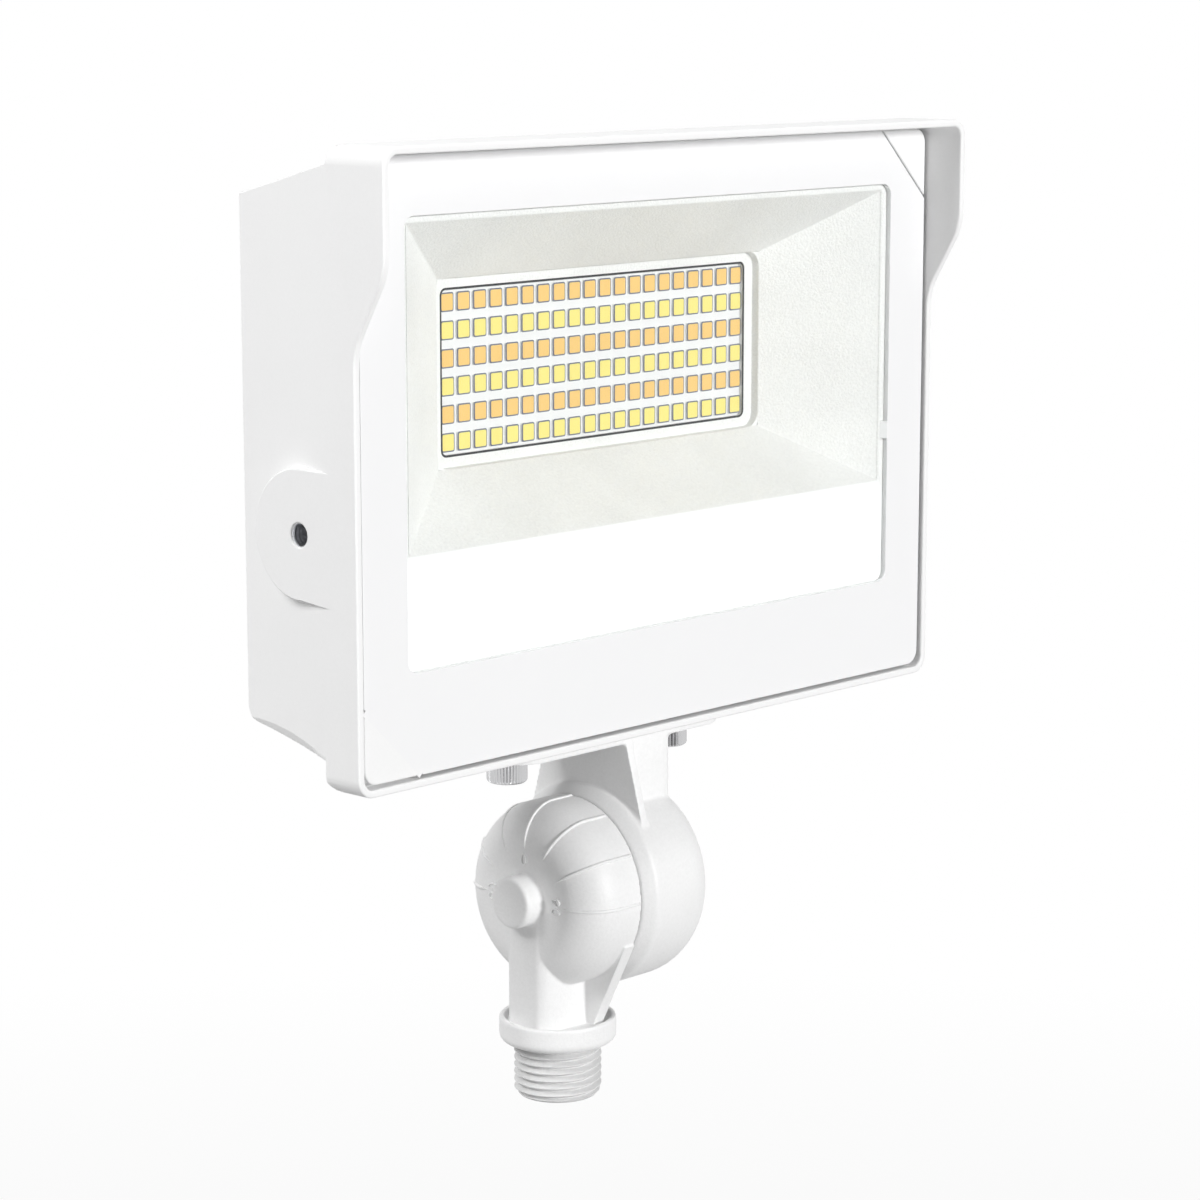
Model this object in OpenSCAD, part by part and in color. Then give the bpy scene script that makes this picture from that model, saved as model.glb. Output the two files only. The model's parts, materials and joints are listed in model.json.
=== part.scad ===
// Floodlight on a knuckle arm with a threaded stem.
// The origin lies on the thread's axis, in the plane where the collar seats.
// +Z is up, the glass faces -Y, and +X is the right-hand side seen from the front.

/* [Head] */
// Outside width of the head across its rim
head_w = 192; // [186:0.5:210]
// Height of the head from the bottom of its rim to the top of its hood
head_h = 138.2; // [136:0.1:150]
// Distance of the rim's front before the knuckle's axis
rim_reach = 25.2; // [24.6:0.1:28]
// Depth of the straight band behind the rim's front
band_depth = 8.4; // [7.5:0.1:9.5]
// Distance of the housing's back behind the knuckle's axis
back_reach = 18.1; // [17.6:0.1:22]
// Thickness of the rim, the hood and the wings
rim_wall = 1.7; // [1.4:0.1:2.2]
// Outside radius of the rim's corners
rim_r = 4.2; // [3:0.1:6]
// Thickness of the housing's back and of its top and bottom walls
shell_wall = 2.6; // [2:0.1:3.2]
// Draft of the housing's sides outside, in degrees
side_draft = 10; // [7:0.5:11]
// Draft of the housing's sides inside, in degrees
bay_draft = 5; // [2:0.5:6]
// Step from the top of the band down to the rear body
top_step = 4.1; // [3:0.1:6]
// Fall of the rear body's top towards the back
top_fall = 7.6; // [4:0.1:9]
// Height of the rear body's underside above the rim's bottom, at its front
under_h = 6.5; // [6:0.1:7.5]
// Rise of the underside towards the back
under_rise = 4.1; // [2:0.1:4.6]
// Depth of the skirt that stands down behind the band
skirt_depth = 3.1; // [2.6:0.1:4]

/* [Hood] */
// Distance of the hood's front before the knuckle's axis
hood_reach = 34.8; // [32:0.1:45]
// Height of the wings' upright front edge, up to where its bend would be sharp
wing_h = 25.9; // [20:0.1:40]
// Height over which the wings' front edge slopes back to the rim
wing_slope_h = 16.3; // [14:0.1:24]
// Radius of both bends in the wings' front edge
wing_r = 14.5; // [8:0.5:20]

/* [Front panel] */
// Gap between the front panel and the rim
panel_gap = 0.7; // [0.5:0.1:1]
// Depth of the front panel's face behind the rim's front
panel_sink = 0.9; // [0.5:0.1:1.5]
// Thickness of the front panel
panel_t = 1.4; // [1.2:0.1:2]
// Radius of the front panel's two round corners
panel_r = 3.6; // [2:0.1:5]
// Leg of the panel's two clipped corners
clip_leg = 17; // [12:0.5:18]
// Border of the panel at the window's sides
border_side = 13.05; // [12.5:0.05:14]
// Border of the panel above the window
border_top = 13; // [12:0.1:14]
// Border of the panel below the window
border_bottom = 22.7; // [20:0.1:24]
// Radius of the window's corners
window_r = 2.75; // [2:0.05:5]
// Thickness of the bead that the panel is bedded on
seal_t = 1.5; // [1.2:0.1:2]

/* [Reflector] */
// Distance of the pan's front opening from the window's sides
pan_inset = 1.45; // [1.45:0.05:5]
// Height of the pan's front opening
pan_h = 71.3; // [68:0.1:72]
// Distance of the pan's top edge below the window's top edge
pan_drop = 1.45; // [1:0.05:3]
// Thickness of the reflector
pan_t = 1; // [0.8:0.1:1.2]
// Height of the step round the led field
riser_h = 2.05; // [1.5:0.05:3]
// Width of the ledge beside the led field
ledge_side_w = 3.4; // [1.5:0.05:3.6]
// Width of the ledge above and below the led field
ledge_top_w = 2.8; // [1.5:0.1:3]

/* [Leds] */
// Number of led columns
led_columns = 20; // [16:1:20]
// Number of led rows, warm and cool in turn
led_rows = 6; // [4:2:6]
// Pitch of the led columns
led_pitch_x = 5.055; // [4.8:0.005:5.1]
// Pitch of the led rows
led_pitch_z = 6.27; // [5:0.01:6.3]
// Width of one led
led_w = 4.07; // [3:0.01:4.2]
// Height of one led
led_h = 4.3; // [3:0.01:4.5]
// Thickness of one led
led_t = 0.6; // [0.4:0.05:0.8]
// Thickness of the led board
board_t = 1.6; // [1:0.1:2]
// Distance of the led board's face before the knuckle's axis
board_reach = 2.3; // [0.5:0.1:3]
// Thickness of the thermal pad behind the board
pad_t = 0.3; // [0.2:0.1:0.5]

/* [Side bosses] */
// Height of the side bosses' centre above the rim's bottom
boss_z = 55.2; // [45:0.1:65]
// Distance of the side bosses' centre before the knuckle's axis
boss_reach = 6.9; // [4:0.1:8]
// Radius of the side bosses
boss_r = 14.4; // [10:0.1:15]
// Radius of the tapped holes in the side bosses
side_hole_r = 2.6; // [2:0.1:3.2]
// Depth of the tapped holes in the side bosses
side_hole_depth = 12; // [8:0.5:14]

/* [Driver] */
// Width of the driver's tray
driver_w = 104; // [96:1:110]
// Gap between the driver and the led pedestal above it
driver_gap = 6.7; // [6:0.1:10]
// Depth of the driver's tray with its cover
driver_depth = 25; // [24:0.5:26]
// Wall of the driver's tray and cover
driver_wall = 1.2; // [0.8:0.1:1.5]

/* [Arms] */
// Distance from each arm's axis to the plane where the two arms part
arm_offset = 5.4; // [4.5:0.1:6]
// Height of the knuckle's axis above the collar's seat
pivot_h = 36.5; // [36:0.1:45]
// Height of the flange's underside above the knuckle's axis
stem_rise = 35.8; // [34:0.1:45]
// Thickness of the flange
flange_t = 4; // [3:0.1:5]
// Length of the flange
flange_l = 73.3; // [72:0.1:80]
// Width of the flange and of the housing's pad above it
flange_w = 25.4; // [25:0.1:27]
// Corner radius of the flange
flange_r = 9.3; // [6:0.1:12]
// Distance of each flange screw from the middle, as a share of half the flange's length
screw_share = 0.7462; // [0.73:0.0002:0.78]
// Thickness of the gasket on the flange
gasket_t = 1.2; // [0.8:0.1:1.5]
// Thickness of the arms' webs
web_t = 2.3; // [2:0.1:3]
// Clearance between the two halves of the knuckle
part_gap = 0.2; // [0.15:0.05:0.3]

/* [Knuckle] */
// Radius of the upper half of the knuckle
drum_r = 24.7; // [24.5:0.1:26]
// Length of the upper half of the knuckle
drum_l = 26.2; // [25:0.1:30]
// Radius of the upper half's outer edge
drum_edge_r = 10.7; // [8:0.1:11]
// Radius of the lower half of the knuckle
dome_r = 22.3; // [22:0.1:23]
// Length of the lower half of the knuckle
dome_l = 16.4; // [15:0.1:18]
// Radius of the lower half's outer edge
dome_edge_r = 9.5; // [7:0.1:10]
// Radius of the boss on the lower half
cap_r = 6.2; // [6:0.1:7]
// Height of the boss on the lower half
cap_h = 5.1; // [4:0.1:6]
// Radius of the clamp bolt's shank
bolt_r = 4; // [3.5:0.1:4]
// Radial clearance of the clamp bolt in both halves
bolt_clearance = 0.05; // [0.03:0.01:0.08]

/* [Thread] */
// Outside radius of the thread
thread_r = 10.45; // [10.2:0.05:10.6]
// Pitch of the thread
thread_pitch = 1.814; // [1.5:0.001:2]
// Number of turns
thread_turns = 7; // [5:1:8]
// Height of the thread
thread_h = 1.3; // [0.9:0.05:1.4]
// Radius of the wire hole through the thread
wireway_r = 7; // [6:0.1:7.4]
// Radius of the collar above the thread
collar_r = 14; // [13:0.1:16]
// Height of the collar
collar_h = 6.1; // [5:0.1:8]

/* [Hidden] */
$fn = 64;

// How far each cut runs past the face that it opens
overrun = 1;
// How far bodies of one casting run into each other
lap = 0.5;
// Steps along each rounded bend of an outline
bend_steps = 7;
// Clearance round every small screw in its hole
screw_clearance = 0.05;
// Clearance round a piece that drops into its seat
seat_clearance = 0.1;

// Places of the head, with its own zero at the rim's bottom in the middle
head_x = 2 * arm_offset;
plate_z = pivot_h + stem_rise;
head_z = plate_z + flange_t + gasket_t;
head_mid = head_h / 2;

// Housing, front to back
rim_front = -rim_reach;
band_back = rim_front + band_depth;
skirt_back = band_back + skirt_depth;
panel_front = rim_front + panel_sink;
panel_back = panel_front + panel_t;
ledge_y = panel_back + seal_t;
bay_back = back_reach - shell_wall;
rim_inner_r = rim_r - rim_wall;
band_edge_r = 2.4;
skirt_edge_r = 4;
back_edge_r = 4;
scallop_r = 180;
scallop_centre = 38.4;
scallop_lean = 26.5;
scallop_start = 1.1;
scallop_l = 52;

// Front panel
panel_w = head_w - 2 * (rim_wall + panel_gap);
panel_h = head_h - 2 * (rim_wall + panel_gap);
ledge_inset = 2.8;
seal_edge = 0.4;
lug_gap = 0.4;
key_mid = 62.6;
key_h = 4.2;
window_w = panel_w - 2 * border_side;
window_bottom = rim_wall + panel_gap + border_bottom;
window_top = head_h - rim_wall - panel_gap - border_top;
window_mid = (window_bottom + window_top) / 2;

// Light engine, around the middle of the led field
pan_w = window_w - 2 * pan_inset;
optic_z = window_top - pan_drop - pan_h / 2;
field_gap_side = 0.15;
field_gap_top = 0.6;
field_w = (led_columns - 1) * led_pitch_x + led_w;
field_h = (led_rows - 1) * led_pitch_z + led_h;
opening_w = field_w + 2 * field_gap_side;
opening_h = field_h + 2 * field_gap_top;
floor_w = opening_w + 2 * ledge_side_w;
floor_h = opening_h + 2 * ledge_top_w;
floor_r = 3.5;
opening_r = 1.2;
board_front = -board_reach;
ledge_front = board_front - pan_t;
floor_front = ledge_front - riser_h;
apron_inset = 3.4;
apron_t = 1.2;
board_margin_x = 11.4;
board_margin_z = 9.2;
board_w = field_w + 2 * board_margin_x;
board_h = field_h + 2 * board_margin_z;
board_r = 2;
board_screw_edge = 3.8;
pedestal_front = board_front + board_t + pad_t;
pedestal_rim = 2;
pedestal_bottom = optic_z - board_h / 2 - pedestal_rim;

// Rear fins behind the leds
fin_pitch = 8.4;
fin_gap = 4.2;
fin_count = 15;
fin_root = 6.9;
fin_foot = 2.5;

// Small screws, M3
small_r = 1.45;
small_head_r = 2.8;
small_head_h = 1.9;
small_length = 8;
small_drive_r = 1.3;
small_drive_depth = 1;
small_boss_r = 3.6;

// Reflector screws in the panel's border
pan_screw_edge = 8;
pan_screw_end = 22.1;
pan_screw_x = panel_w / 2 - pan_screw_edge;
pan_screw_dz = panel_h / 2 - pan_screw_end;
pan_cup_r = 4.3;
pan_cup_depth = 2.2;

// Driver in the bay below the leds
driver_z = 16;
driver_ear = 10;
driver_ear_t = 1.5;
driver_stand = 4;
driver_board_stand = 3;
driver_board_t = 1.6;
driver_slack = 1;
driver_r = 2;
driver_post_inset = 6.6;
driver_h = pedestal_bottom - driver_z - driver_gap;
driver_mid = driver_z + driver_h / 2;
driver_lid_y = bay_back - driver_depth;
driver_board_front = bay_back - driver_wall - driver_board_stand - driver_board_t;
driver_inset = driver_wall + driver_slack;
transformer_x = 4;
transformer_w = 24;
transformer_depth = 15;
transformer_share = 0.59;
transformer_h = driver_h * transformer_share;
bobbin_w = 16;
bobbin_depth = 17;
bobbin_share = 0.7;
bobbin_h = driver_h * bobbin_share;
capacitor_share = 0.147;
capacitor_gap = 2.5;
capacitor_r = driver_h * capacitor_share;
capacitor_l = 16;
capacitor_x = transformer_x - transformer_w / 2 - capacitor_gap - capacitor_r;
choke_x = 34;
choke_share = 0.265;
choke_r = driver_h * choke_share;
choke_wire_share = 0.28;
choke_wire_r = choke_r * choke_wire_share;
ear_share = 0.59;
driver_ear_h = driver_h * ear_share;

// Flange screws, a quarter inch
screw_dx = flange_l / 2 * screw_share;
arm_screw_r = 3.15;
arm_screw_l = 17.5;
arm_head_r = 4.8;
arm_head_h = 6.3;
arm_hex_r = 2.75;
arm_hex_depth = 3.2;
arm_hole_r = 3.4;
arm_boss_r = 7;
arm_boss_h = 14.5;
arm_boss_floor = 1.5;

// Upper arm
neck_front = 4.6;
neck_l = 17.6;
neck_r = 4.5;
neck_half_w = 12.7;
web_top_half = 12.6;
web_slope = 0.3;
web_sink = 13.5;
drum_lip = 2.4;
drum_lip_l = 3.1;
upper_bore_r = 5.5;
wire_x = arm_offset + neck_front + neck_l / 2;
grommet_wall = 1.6;

// Inside of the knuckle
cup_r = 17.5;
drum_cup_r = 20.5;
drum_wall = 5.1;
drum_post_r = 10.2;
dome_post_r = 8.5;
dome_wall = 3.5;
bolt_well_r = 7.6;
bolt_well_depth = 9.6;
bolt_head_r = 6.5;
bolt_head_h = 7.5;
bolt_hex_r = 3.45;
bolt_hex_depth = 4;
washer_t = 1.6;
washer_r = 7;
bolt_end_gap = 0.5;
cap_wall = 3;
groove_r = 18.7;
groove_w = 2.4;
groove_depth = 1.9;
ring_slack = 0.1;

// Lower arm
lower_neck_half_w = 7.4;
lower_neck_r = 4;
lower_bore_r = 5;
lower_web_t = 3.3;
lower_web_foot = 9.4;
lower_web_slope = 0.503;
dish_depth = 1.2;
collar_lip = 1.4;
collar_edge_r = 2;
collar_floor = 3;
thread_land = 0.3;
thread_end_r = 9.6;
thread_end = 1.9;
thread_length = (thread_turns - 1) * thread_pitch + thread_land + thread_end;
lower_neck_x = arm_offset - dome_l / 2;
rib_h = 0.35;
rib_w = 0.8;
rib_start = 12;
rib_step = 30;
scale_end = 90;
rib_end_gap = 0.6;
numeral_h = 0.3;
numeral_r = 9.7;
numeral_side_r = 10.4;
digit_w = 1.9;
digit_tall = 2.9;
digit_stroke = 0.45;
digit_space = 0.35;

casting_white = [0.96, 0.96, 0.96];
panel_white = [0.93, 0.93, 0.93];
lamp_orange = [0.95, 0.74, 0.42];
lamp_yellow = [0.95, 0.88, 0.45];
steel = [0.72, 0.73, 0.75];
rubber_grey = [0.25, 0.25, 0.26];

// Points of a bend of radius r at corner b, between the corners a and c before and after it
function bend(a, b, c, r) = let(
    u = (a - b) / norm(a - b),
    v = (c - b) / norm(c - b),
    half = acos(max(-1, min(1, u * v))) / 2,
    middle = b + (u + v) / norm(u + v) * r / sin(half),
    from = b + u * r / tan(half) - middle,
    turn = (u[0] * v[1] - u[1] * v[0] > 0 ? -1 : 1) * (180 - 2 * half)
) [for (i = [0 : bend_steps]) let(t = turn * i / bend_steps)
    middle + [from[0] * cos(t) - from[1] * sin(t), from[0] * sin(t) + from[1] * cos(t)]];

// An outline whose corners [x, y, r] are rounded where r is above zero
function rounded(corners) = let(n = len(corners)) [
    for (i = [0 : n - 1]) let(
        b = corners[i],
        a = corners[(i + n - 1) % n],
        c = corners[(i + 1) % n],
        here = [b[0], b[1]]
    ) each (b[2] > 0 ? bend([a[0], a[1]], here, [c[0], c[1]], b[2]) : [here])
];

// Carries a drawing in X and Z from the depth front to the depth back
module slab(front, back) {
    translate([0, back, 0]) rotate([90, 0, 0]) linear_extrude(back - front) children();
}

// Carries a drawing in Y and Z along X
module along_x(from, to) {
    translate([from, 0, 0]) rotate([90, 0, 90]) linear_extrude(to - from) children();
}

// Turns a drawing of radius and X around the knuckle's axis
module about_pivot() {
    translate([0, 0, pivot_h]) rotate([0, 90, 0]) rotate_extrude() children();
}

module rounded_rect(w, h, r) {
    square([w - 2 * r, h], center = true);
    square([w, h - 2 * r], center = true);
    for (x = [-1, 1], y = [-1, 1]) translate([x * (w / 2 - r), y * (h / 2 - r)]) circle(r);
}

// The corner of a w by h rectangle beyond a 45 degree cut with the given leg, and its opposite one
module clipped_corners(w, h, leg) {
    for (turn = [0, 180]) rotate(turn) polygon([
        [w / 2 + overrun, h / 2 - leg - overrun],
        [w / 2 + overrun, h / 2 + overrun],
        [w / 2 - leg - overrun, h / 2 + overrun]
    ]);
}

// The front panel's outline, drawn in by the inset on every side
module panel_outline(inset) {
    w = panel_w - 2 * inset;
    h = panel_h - 2 * inset;
    translate([0, head_mid]) difference() {
        rounded_rect(w, h, panel_r);
        clipped_corners(w, h, clip_leg - inset * (2 - sqrt(2)));
    }
}

module in_head() {
    translate([head_x, 0, head_z]) children();
}

// A recessed drive in a screw's head, cut along +Z from its top
module screw(length, shank_r, head_r, head_h, drive_r, drive_depth, drive_sides) {
    difference() {
        union() {
            cylinder(h = head_h, r = head_r);
            translate([0, 0, -length]) cylinder(h = length + lap, r = shank_r);
        }
        translate([0, 0, head_h - drive_depth])
            cylinder(h = drive_depth + overrun, r = drive_r, $fn = drive_sides);
    }
}

// A small screw whose head rests on a face that looks towards -Y
module small_screw(length) {
    rotate([90, 0, 0])
        screw(length, small_r, small_head_r, small_head_h, small_drive_r, small_drive_depth, 6);
}

// The rim's band with the hood and its wings, still solid inside
module front_body() {
    half = head_w / 2;
    wing_low = head_h - wing_h - wing_slope_h;
    intersection() {
        slab(-hood_reach - overrun, band_back)
            translate([0, head_mid]) rounded_rect(head_w, head_h, rim_r);
        along_x(-half - overrun, half + overrun) polygon(concat(
            rounded([
                [-hood_reach, head_h + overrun, 0],
                [-hood_reach, head_h - wing_h, wing_r],
                [rim_front, wing_low, wing_r],
                [rim_front, -overrun, 0],
                [band_back + overrun, -overrun, 0],
                [band_back + overrun, head_h - band_edge_r, 0]
            ]),
            bend([band_back, 0], [band_back, head_h], [rim_front, head_h], band_edge_r),
            [[band_back - band_edge_r, head_h + overrun]]
        ));
    }
}

// A round cutter whose near side takes off the lower edge of the right side behind the skirt
module side_scallop() {
    start_x = head_w / 2 - (skirt_back - band_back) * tan(side_draft);
    start_z = under_h + scallop_start;
    reach = scallop_centre - skirt_back;
    inward = start_x * cos(scallop_lean) - start_z * sin(scallop_lean);
    middle = inward + sqrt(scallop_r * scallop_r - reach * reach);
    rotate([0, scallop_lean, 0])
        translate([middle, scallop_centre, start_x * sin(scallop_lean) - scallop_l / 2])
            cylinder(h = scallop_l, r = scallop_r, $fn = 180);
}

// The drafted body behind the band, with the skirt along its bottom
module rear_body() {
    half = head_w / 2;
    end = back_reach + overrun;
    half_end = half - (end - band_back) * tan(side_draft);
    top = head_h - top_step;
    root = skirt_back - skirt_edge_r;
    intersection() {
        union() {
            difference() {
                along_x(-half - overrun, half + overrun) polygon(concat(
                    [[root, under_h], [skirt_back, under_h]],
                    bend(
                        [skirt_back, under_h], [back_reach, under_h + under_rise],
                        [back_reach, top - top_fall], back_edge_r
                    ),
                    [[back_reach, top - top_fall], [band_back, top], [root, top]]
                ));
                side_scallop();
                mirror([1, 0, 0]) side_scallop();
            }
            along_x(-half - 2 * overrun, half + 2 * overrun) polygon(concat(
                bend([rim_front, 0], [skirt_back, 0], [skirt_back, under_h], skirt_edge_r),
                [[skirt_back, under_h + 2 * scallop_start], [root, under_h + 2 * scallop_start]]
            ));
        }
        translate([0, 0, -overrun]) linear_extrude(head_h + 2 * overrun) polygon([
            [lap - half, root - overrun], [half - lap, root - overrun], [half - lap, band_back - lap],
            [half, band_back], [half_end, end],
            [-half_end, end], [-half, band_back], [lap - half, band_back - lap]
        ]);
        slab(root - overrun, back_reach + overrun)
            translate([0, head_h]) rounded_rect(head_w, 2 * head_h, rim_r);
    }
}

// The housing's inside behind the ledge that the panel is bedded on
module bay() {
    bay_half = panel_w / 2 - ledge_inset;
    bay_half_back = bay_half - (bay_back - ledge_y) * tan(bay_draft);
    floor_front_y = skirt_back - shell_wall;
    bay_low = rim_wall + panel_gap + ledge_inset;
    bay_high = head_h - bay_low;
    under_slope = under_rise / (back_reach - skirt_back);
    top_slope = top_fall / (back_reach - band_back);
    top_inside = head_h - top_step - shell_wall;
    intersection() {
        slab(ledge_y - lap, bay_back) panel_outline(ledge_inset);
        along_x(-bay_half, bay_half) polygon(rounded([
            [ledge_y - lap, bay_low, 0],
            [floor_front_y, bay_low, 0],
            [floor_front_y, under_h + shell_wall, 0],
            [bay_back, under_h + shell_wall + (bay_back - skirt_back) * under_slope, back_edge_r / 2],
            [bay_back, top_inside - (bay_back - band_back) * top_slope, 0],
            [band_back, top_inside, 0],
            [ledge_y, bay_high, 0],
            [ledge_y - lap, bay_high, 0]
        ]));
        linear_extrude(head_h) polygon([
            [-bay_half, ledge_y - lap], [bay_half, ledge_y - lap], [bay_half, ledge_y],
            [bay_half_back, bay_back], [-bay_half_back, bay_back], [-bay_half, ledge_y]
        ]);
    }
}

// The recess in front of the ledge, less the two lugs that fill the panel's clipped corners
module pocket() {
    difference() {
        slab(-hood_reach - overrun, ledge_y) translate([0, head_mid])
            rounded_rect(head_w - 2 * rim_wall, head_h - 2 * rim_wall, rim_inner_r);
        slab(panel_front, ledge_y + lap) translate([0, head_mid]) intersection() {
            rounded_rect(panel_w, panel_h, panel_r);
            clipped_corners(panel_w, panel_h, clip_leg - lug_gap * sqrt(2));
        }
    }
}

module at_pan_screws() {
    for (x = [-1, 1], z = [-1, 1])
        translate([x * pan_screw_x, 0, head_mid + z * pan_screw_dz]) children();
}

module at_board_screws() {
    for (x = [-1, 1], z = [-1, 1]) translate([
        x * (board_w / 2 - board_screw_edge), 0, optic_z + z * (board_h / 2 - board_screw_edge)
    ]) children();
}

module at_driver_screws() {
    for (x = [-1, 1])
        translate([x * (driver_w / 2 + driver_ear / 2), 0, driver_mid]) children();
}

// A round post or hole along Y
module round_y(front, back, r) {
    translate([0, back, 0]) rotate([90, 0, 0]) cylinder(h = back - front, r = r);
}

module side_boss() {
    half = head_w / 2;
    along_x(half - side_hole_depth, half) {
        translate([-boss_reach, boss_z]) circle(boss_r);
        translate([band_back - lap, boss_z - boss_r]) square([lap - boss_reach - band_back, 2 * boss_r]);
    }
}

module at_arm_screws() {
    for (x = [-1, 1]) translate([x * screw_dx, 0, 0]) children();
}

module housing() color(casting_white) in_head() {
    inner_boss_r = small_boss_r + side_hole_r;
    difference() {
        union() {
            difference() {
                union() {
                    front_body();
                    rear_body();
                    linear_extrude(under_h + under_rise) rounded_rect(flange_l, flange_w, flange_r);
                    translate([-flange_l / 2 + flange_r, skirt_back - lap, 0])
                        cube([flange_l - 2 * flange_r, flange_w / 2, under_h]);
                    side_boss();
                    mirror([1, 0, 0]) side_boss();
                }
                pocket();
                bay();
            }
            intersection() {
                rear_body();
                translate([-board_w / 2 - pedestal_rim, pedestal_front, pedestal_bottom])
                    cube([board_w + 2 * pedestal_rim, back_reach, head_h]);
            }
            intersection() {
                rear_body();
                at_pan_screws() round_y(panel_back + apron_t + pan_cup_depth, bay_back + lap, small_boss_r);
            }
            at_driver_screws() round_y(bay_back - driver_stand, bay_back + lap, small_boss_r);
            at_arm_screws() cylinder(h = arm_boss_h, r = arm_boss_r);
            for (side = [0, 1]) mirror([side, 0, 0]) translate([
                head_w / 2 - side_hole_depth - side_hole_r, -boss_reach, boss_z
            ]) rotate([0, 90, 0]) cylinder(h = side_hole_depth, r = inner_boss_r);
        }
        for (i = [0 : fin_count - 1])
            translate([
                (i - (fin_count - 1) / 2) * fin_pitch - fin_gap / 2, fin_root, pedestal_bottom + fin_foot
            ]) cube([fin_gap, back_reach, head_h]);
        for (side = [0, 1]) mirror([side, 0, 0])
            translate([head_w / 2 - side_hole_depth, -boss_reach, boss_z])
                rotate([0, 90, 0]) cylinder(h = side_hole_depth + overrun, r = side_hole_r);
        at_pan_screws() round_y(ledge_y, ledge_y + small_length, small_r + screw_clearance);
        at_board_screws()
            round_y(pedestal_front - lap, pedestal_front + small_length / 2, small_r + screw_clearance);
        at_driver_screws()
            round_y(bay_back - driver_stand - lap, bay_back, small_r + screw_clearance);
        at_arm_screws() translate([0, 0, -overrun])
            cylinder(h = arm_boss_h - arm_boss_floor + overrun, r = arm_screw_r + screw_clearance);
        translate([wire_x - head_x, 0, -overrun])
            cylinder(h = arm_boss_h + overrun, r = upper_bore_r);
    }
}

// The wedge on the window's right side that keys the pane, with a slack round it, run past both faces
module pane_key(slack, past) {
    side = window_w / 2;
    translate([0, 0, key_mid - key_h / 2 - slack]) linear_extrude(key_h + 2 * slack) polygon([
        [side + lap + past, panel_front - past],
        [side - slack + past, panel_front - past],
        [side - slack - panel_t - past, panel_back + past],
        [side + lap + past, panel_back + past]
    ]);
}

module front_frame() color(panel_white) in_head() {
    slab(panel_front, panel_back) difference() {
        panel_outline(0);
        translate([0, window_mid]) rounded_rect(window_w, window_top - window_bottom, window_r);
    }
    pane_key(0, 0);
}

module front_glass() color([0.8, 0.9, 0.95, 0.3]) in_head() difference() {
    slab(panel_front, panel_back) translate([0, window_mid]) rounded_rect(
        window_w - 2 * seat_clearance, window_top - window_bottom - 2 * seat_clearance, window_r
    );
    pane_key(2 * seat_clearance, overrun);
}

module panel_seal() color(rubber_grey) in_head() slab(panel_back, ledge_y) difference() {
    panel_outline(seal_edge);
    panel_outline(ledge_inset);
}

// A four-sided funnel about the led field, from w by h at the panel's back to w2 by h2 at the depth to
module funnel(w, h, w2, h2, to) {
    rise = (h - h2) / 2;
    inward = (w - w2) / 2;
    intersection() {
        translate([0, 0, optic_z - h / 2]) linear_extrude(h) polygon([
            [-w / 2, panel_back], [w / 2, panel_back], [w / 2 - inward, to], [inward - w / 2, to]
        ]);
        along_x(-w / 2, w / 2) polygon([
            [panel_back, optic_z - h / 2], [panel_back, optic_z + h / 2],
            [to, optic_z + h / 2 - rise], [to, optic_z - h / 2 + rise]
        ]);
    }
}

module reflector() color(casting_white) in_head() {
    flat = 2 * pan_t;
    difference() {
        union() {
            slab(panel_back, panel_back + apron_t) panel_outline(apron_inset);
            funnel(pan_w + flat, pan_h + flat, floor_w + flat, floor_h + flat, floor_front + pan_t);
            slab(floor_front, board_front) translate([0, optic_z])
                rounded_rect(floor_w + flat, floor_h + flat, floor_r + pan_t);
            at_pan_screws() round_y(panel_back, panel_back + apron_t + pan_cup_depth, pan_cup_r);
        }
        difference() {
            funnel(pan_w, pan_h, floor_w, floor_h, floor_front);
            at_pan_screws() round_y(panel_back - overrun, board_front, pan_cup_r);
        }
        slab(panel_back - overrun, panel_back + overrun / 2) translate([0, optic_z])
            square([pan_w - overrun, pan_h - overrun], center = true);
        slab(floor_front - lap, ledge_front) translate([0, optic_z])
            rounded_rect(floor_w, floor_h, floor_r);
        slab(ledge_front - lap, board_front + lap) translate([0, optic_z])
            rounded_rect(opening_w, opening_h, opening_r);
        at_pan_screws() {
            round_y(panel_back - overrun, panel_back + pan_cup_depth, small_head_r + seat_clearance);
            round_y(panel_back, ledge_y + small_length, small_r + screw_clearance);
        }
    }
}

module reflector_screws() color(steel) in_head() at_pan_screws()
    translate([0, panel_back + pan_cup_depth, 0]) small_screw(small_length / 2 + apron_t);

module led_board() color([0.93, 0.93, 0.92]) in_head() difference() {
    slab(board_front, board_front + board_t)
        translate([0, optic_z]) rounded_rect(board_w, board_h, board_r);
    at_board_screws() round_y(board_front - overrun, pedestal_front, small_r + screw_clearance);
}

// Every second row of leds, from the row given
module led_row_set(first) {
    for (row = [first : 2 : led_rows - 1], column = [0 : led_columns - 1]) translate([
        (column - (led_columns - 1) / 2) * led_pitch_x - led_w / 2,
        board_front - led_t,
        optic_z + ((led_rows - 1) / 2 - row) * led_pitch_z - led_h / 2
    ]) cube([led_w, led_t, led_h]);
}

module warm_leds() color(lamp_orange) in_head() led_row_set(0);

module cool_leds() color(lamp_yellow) in_head() led_row_set(1);

module thermal_pad() color([0.6, 0.65, 0.7]) in_head() difference() {
    slab(board_front + board_t, pedestal_front)
        translate([0, optic_z]) rounded_rect(board_w, board_h, board_r);
    at_board_screws() round_y(board_front, pedestal_front + overrun, small_r + screw_clearance);
}

module board_screws() color(steel) in_head() at_board_screws()
    translate([0, board_front, 0]) small_screw(small_length / 2 + board_t);

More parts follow.
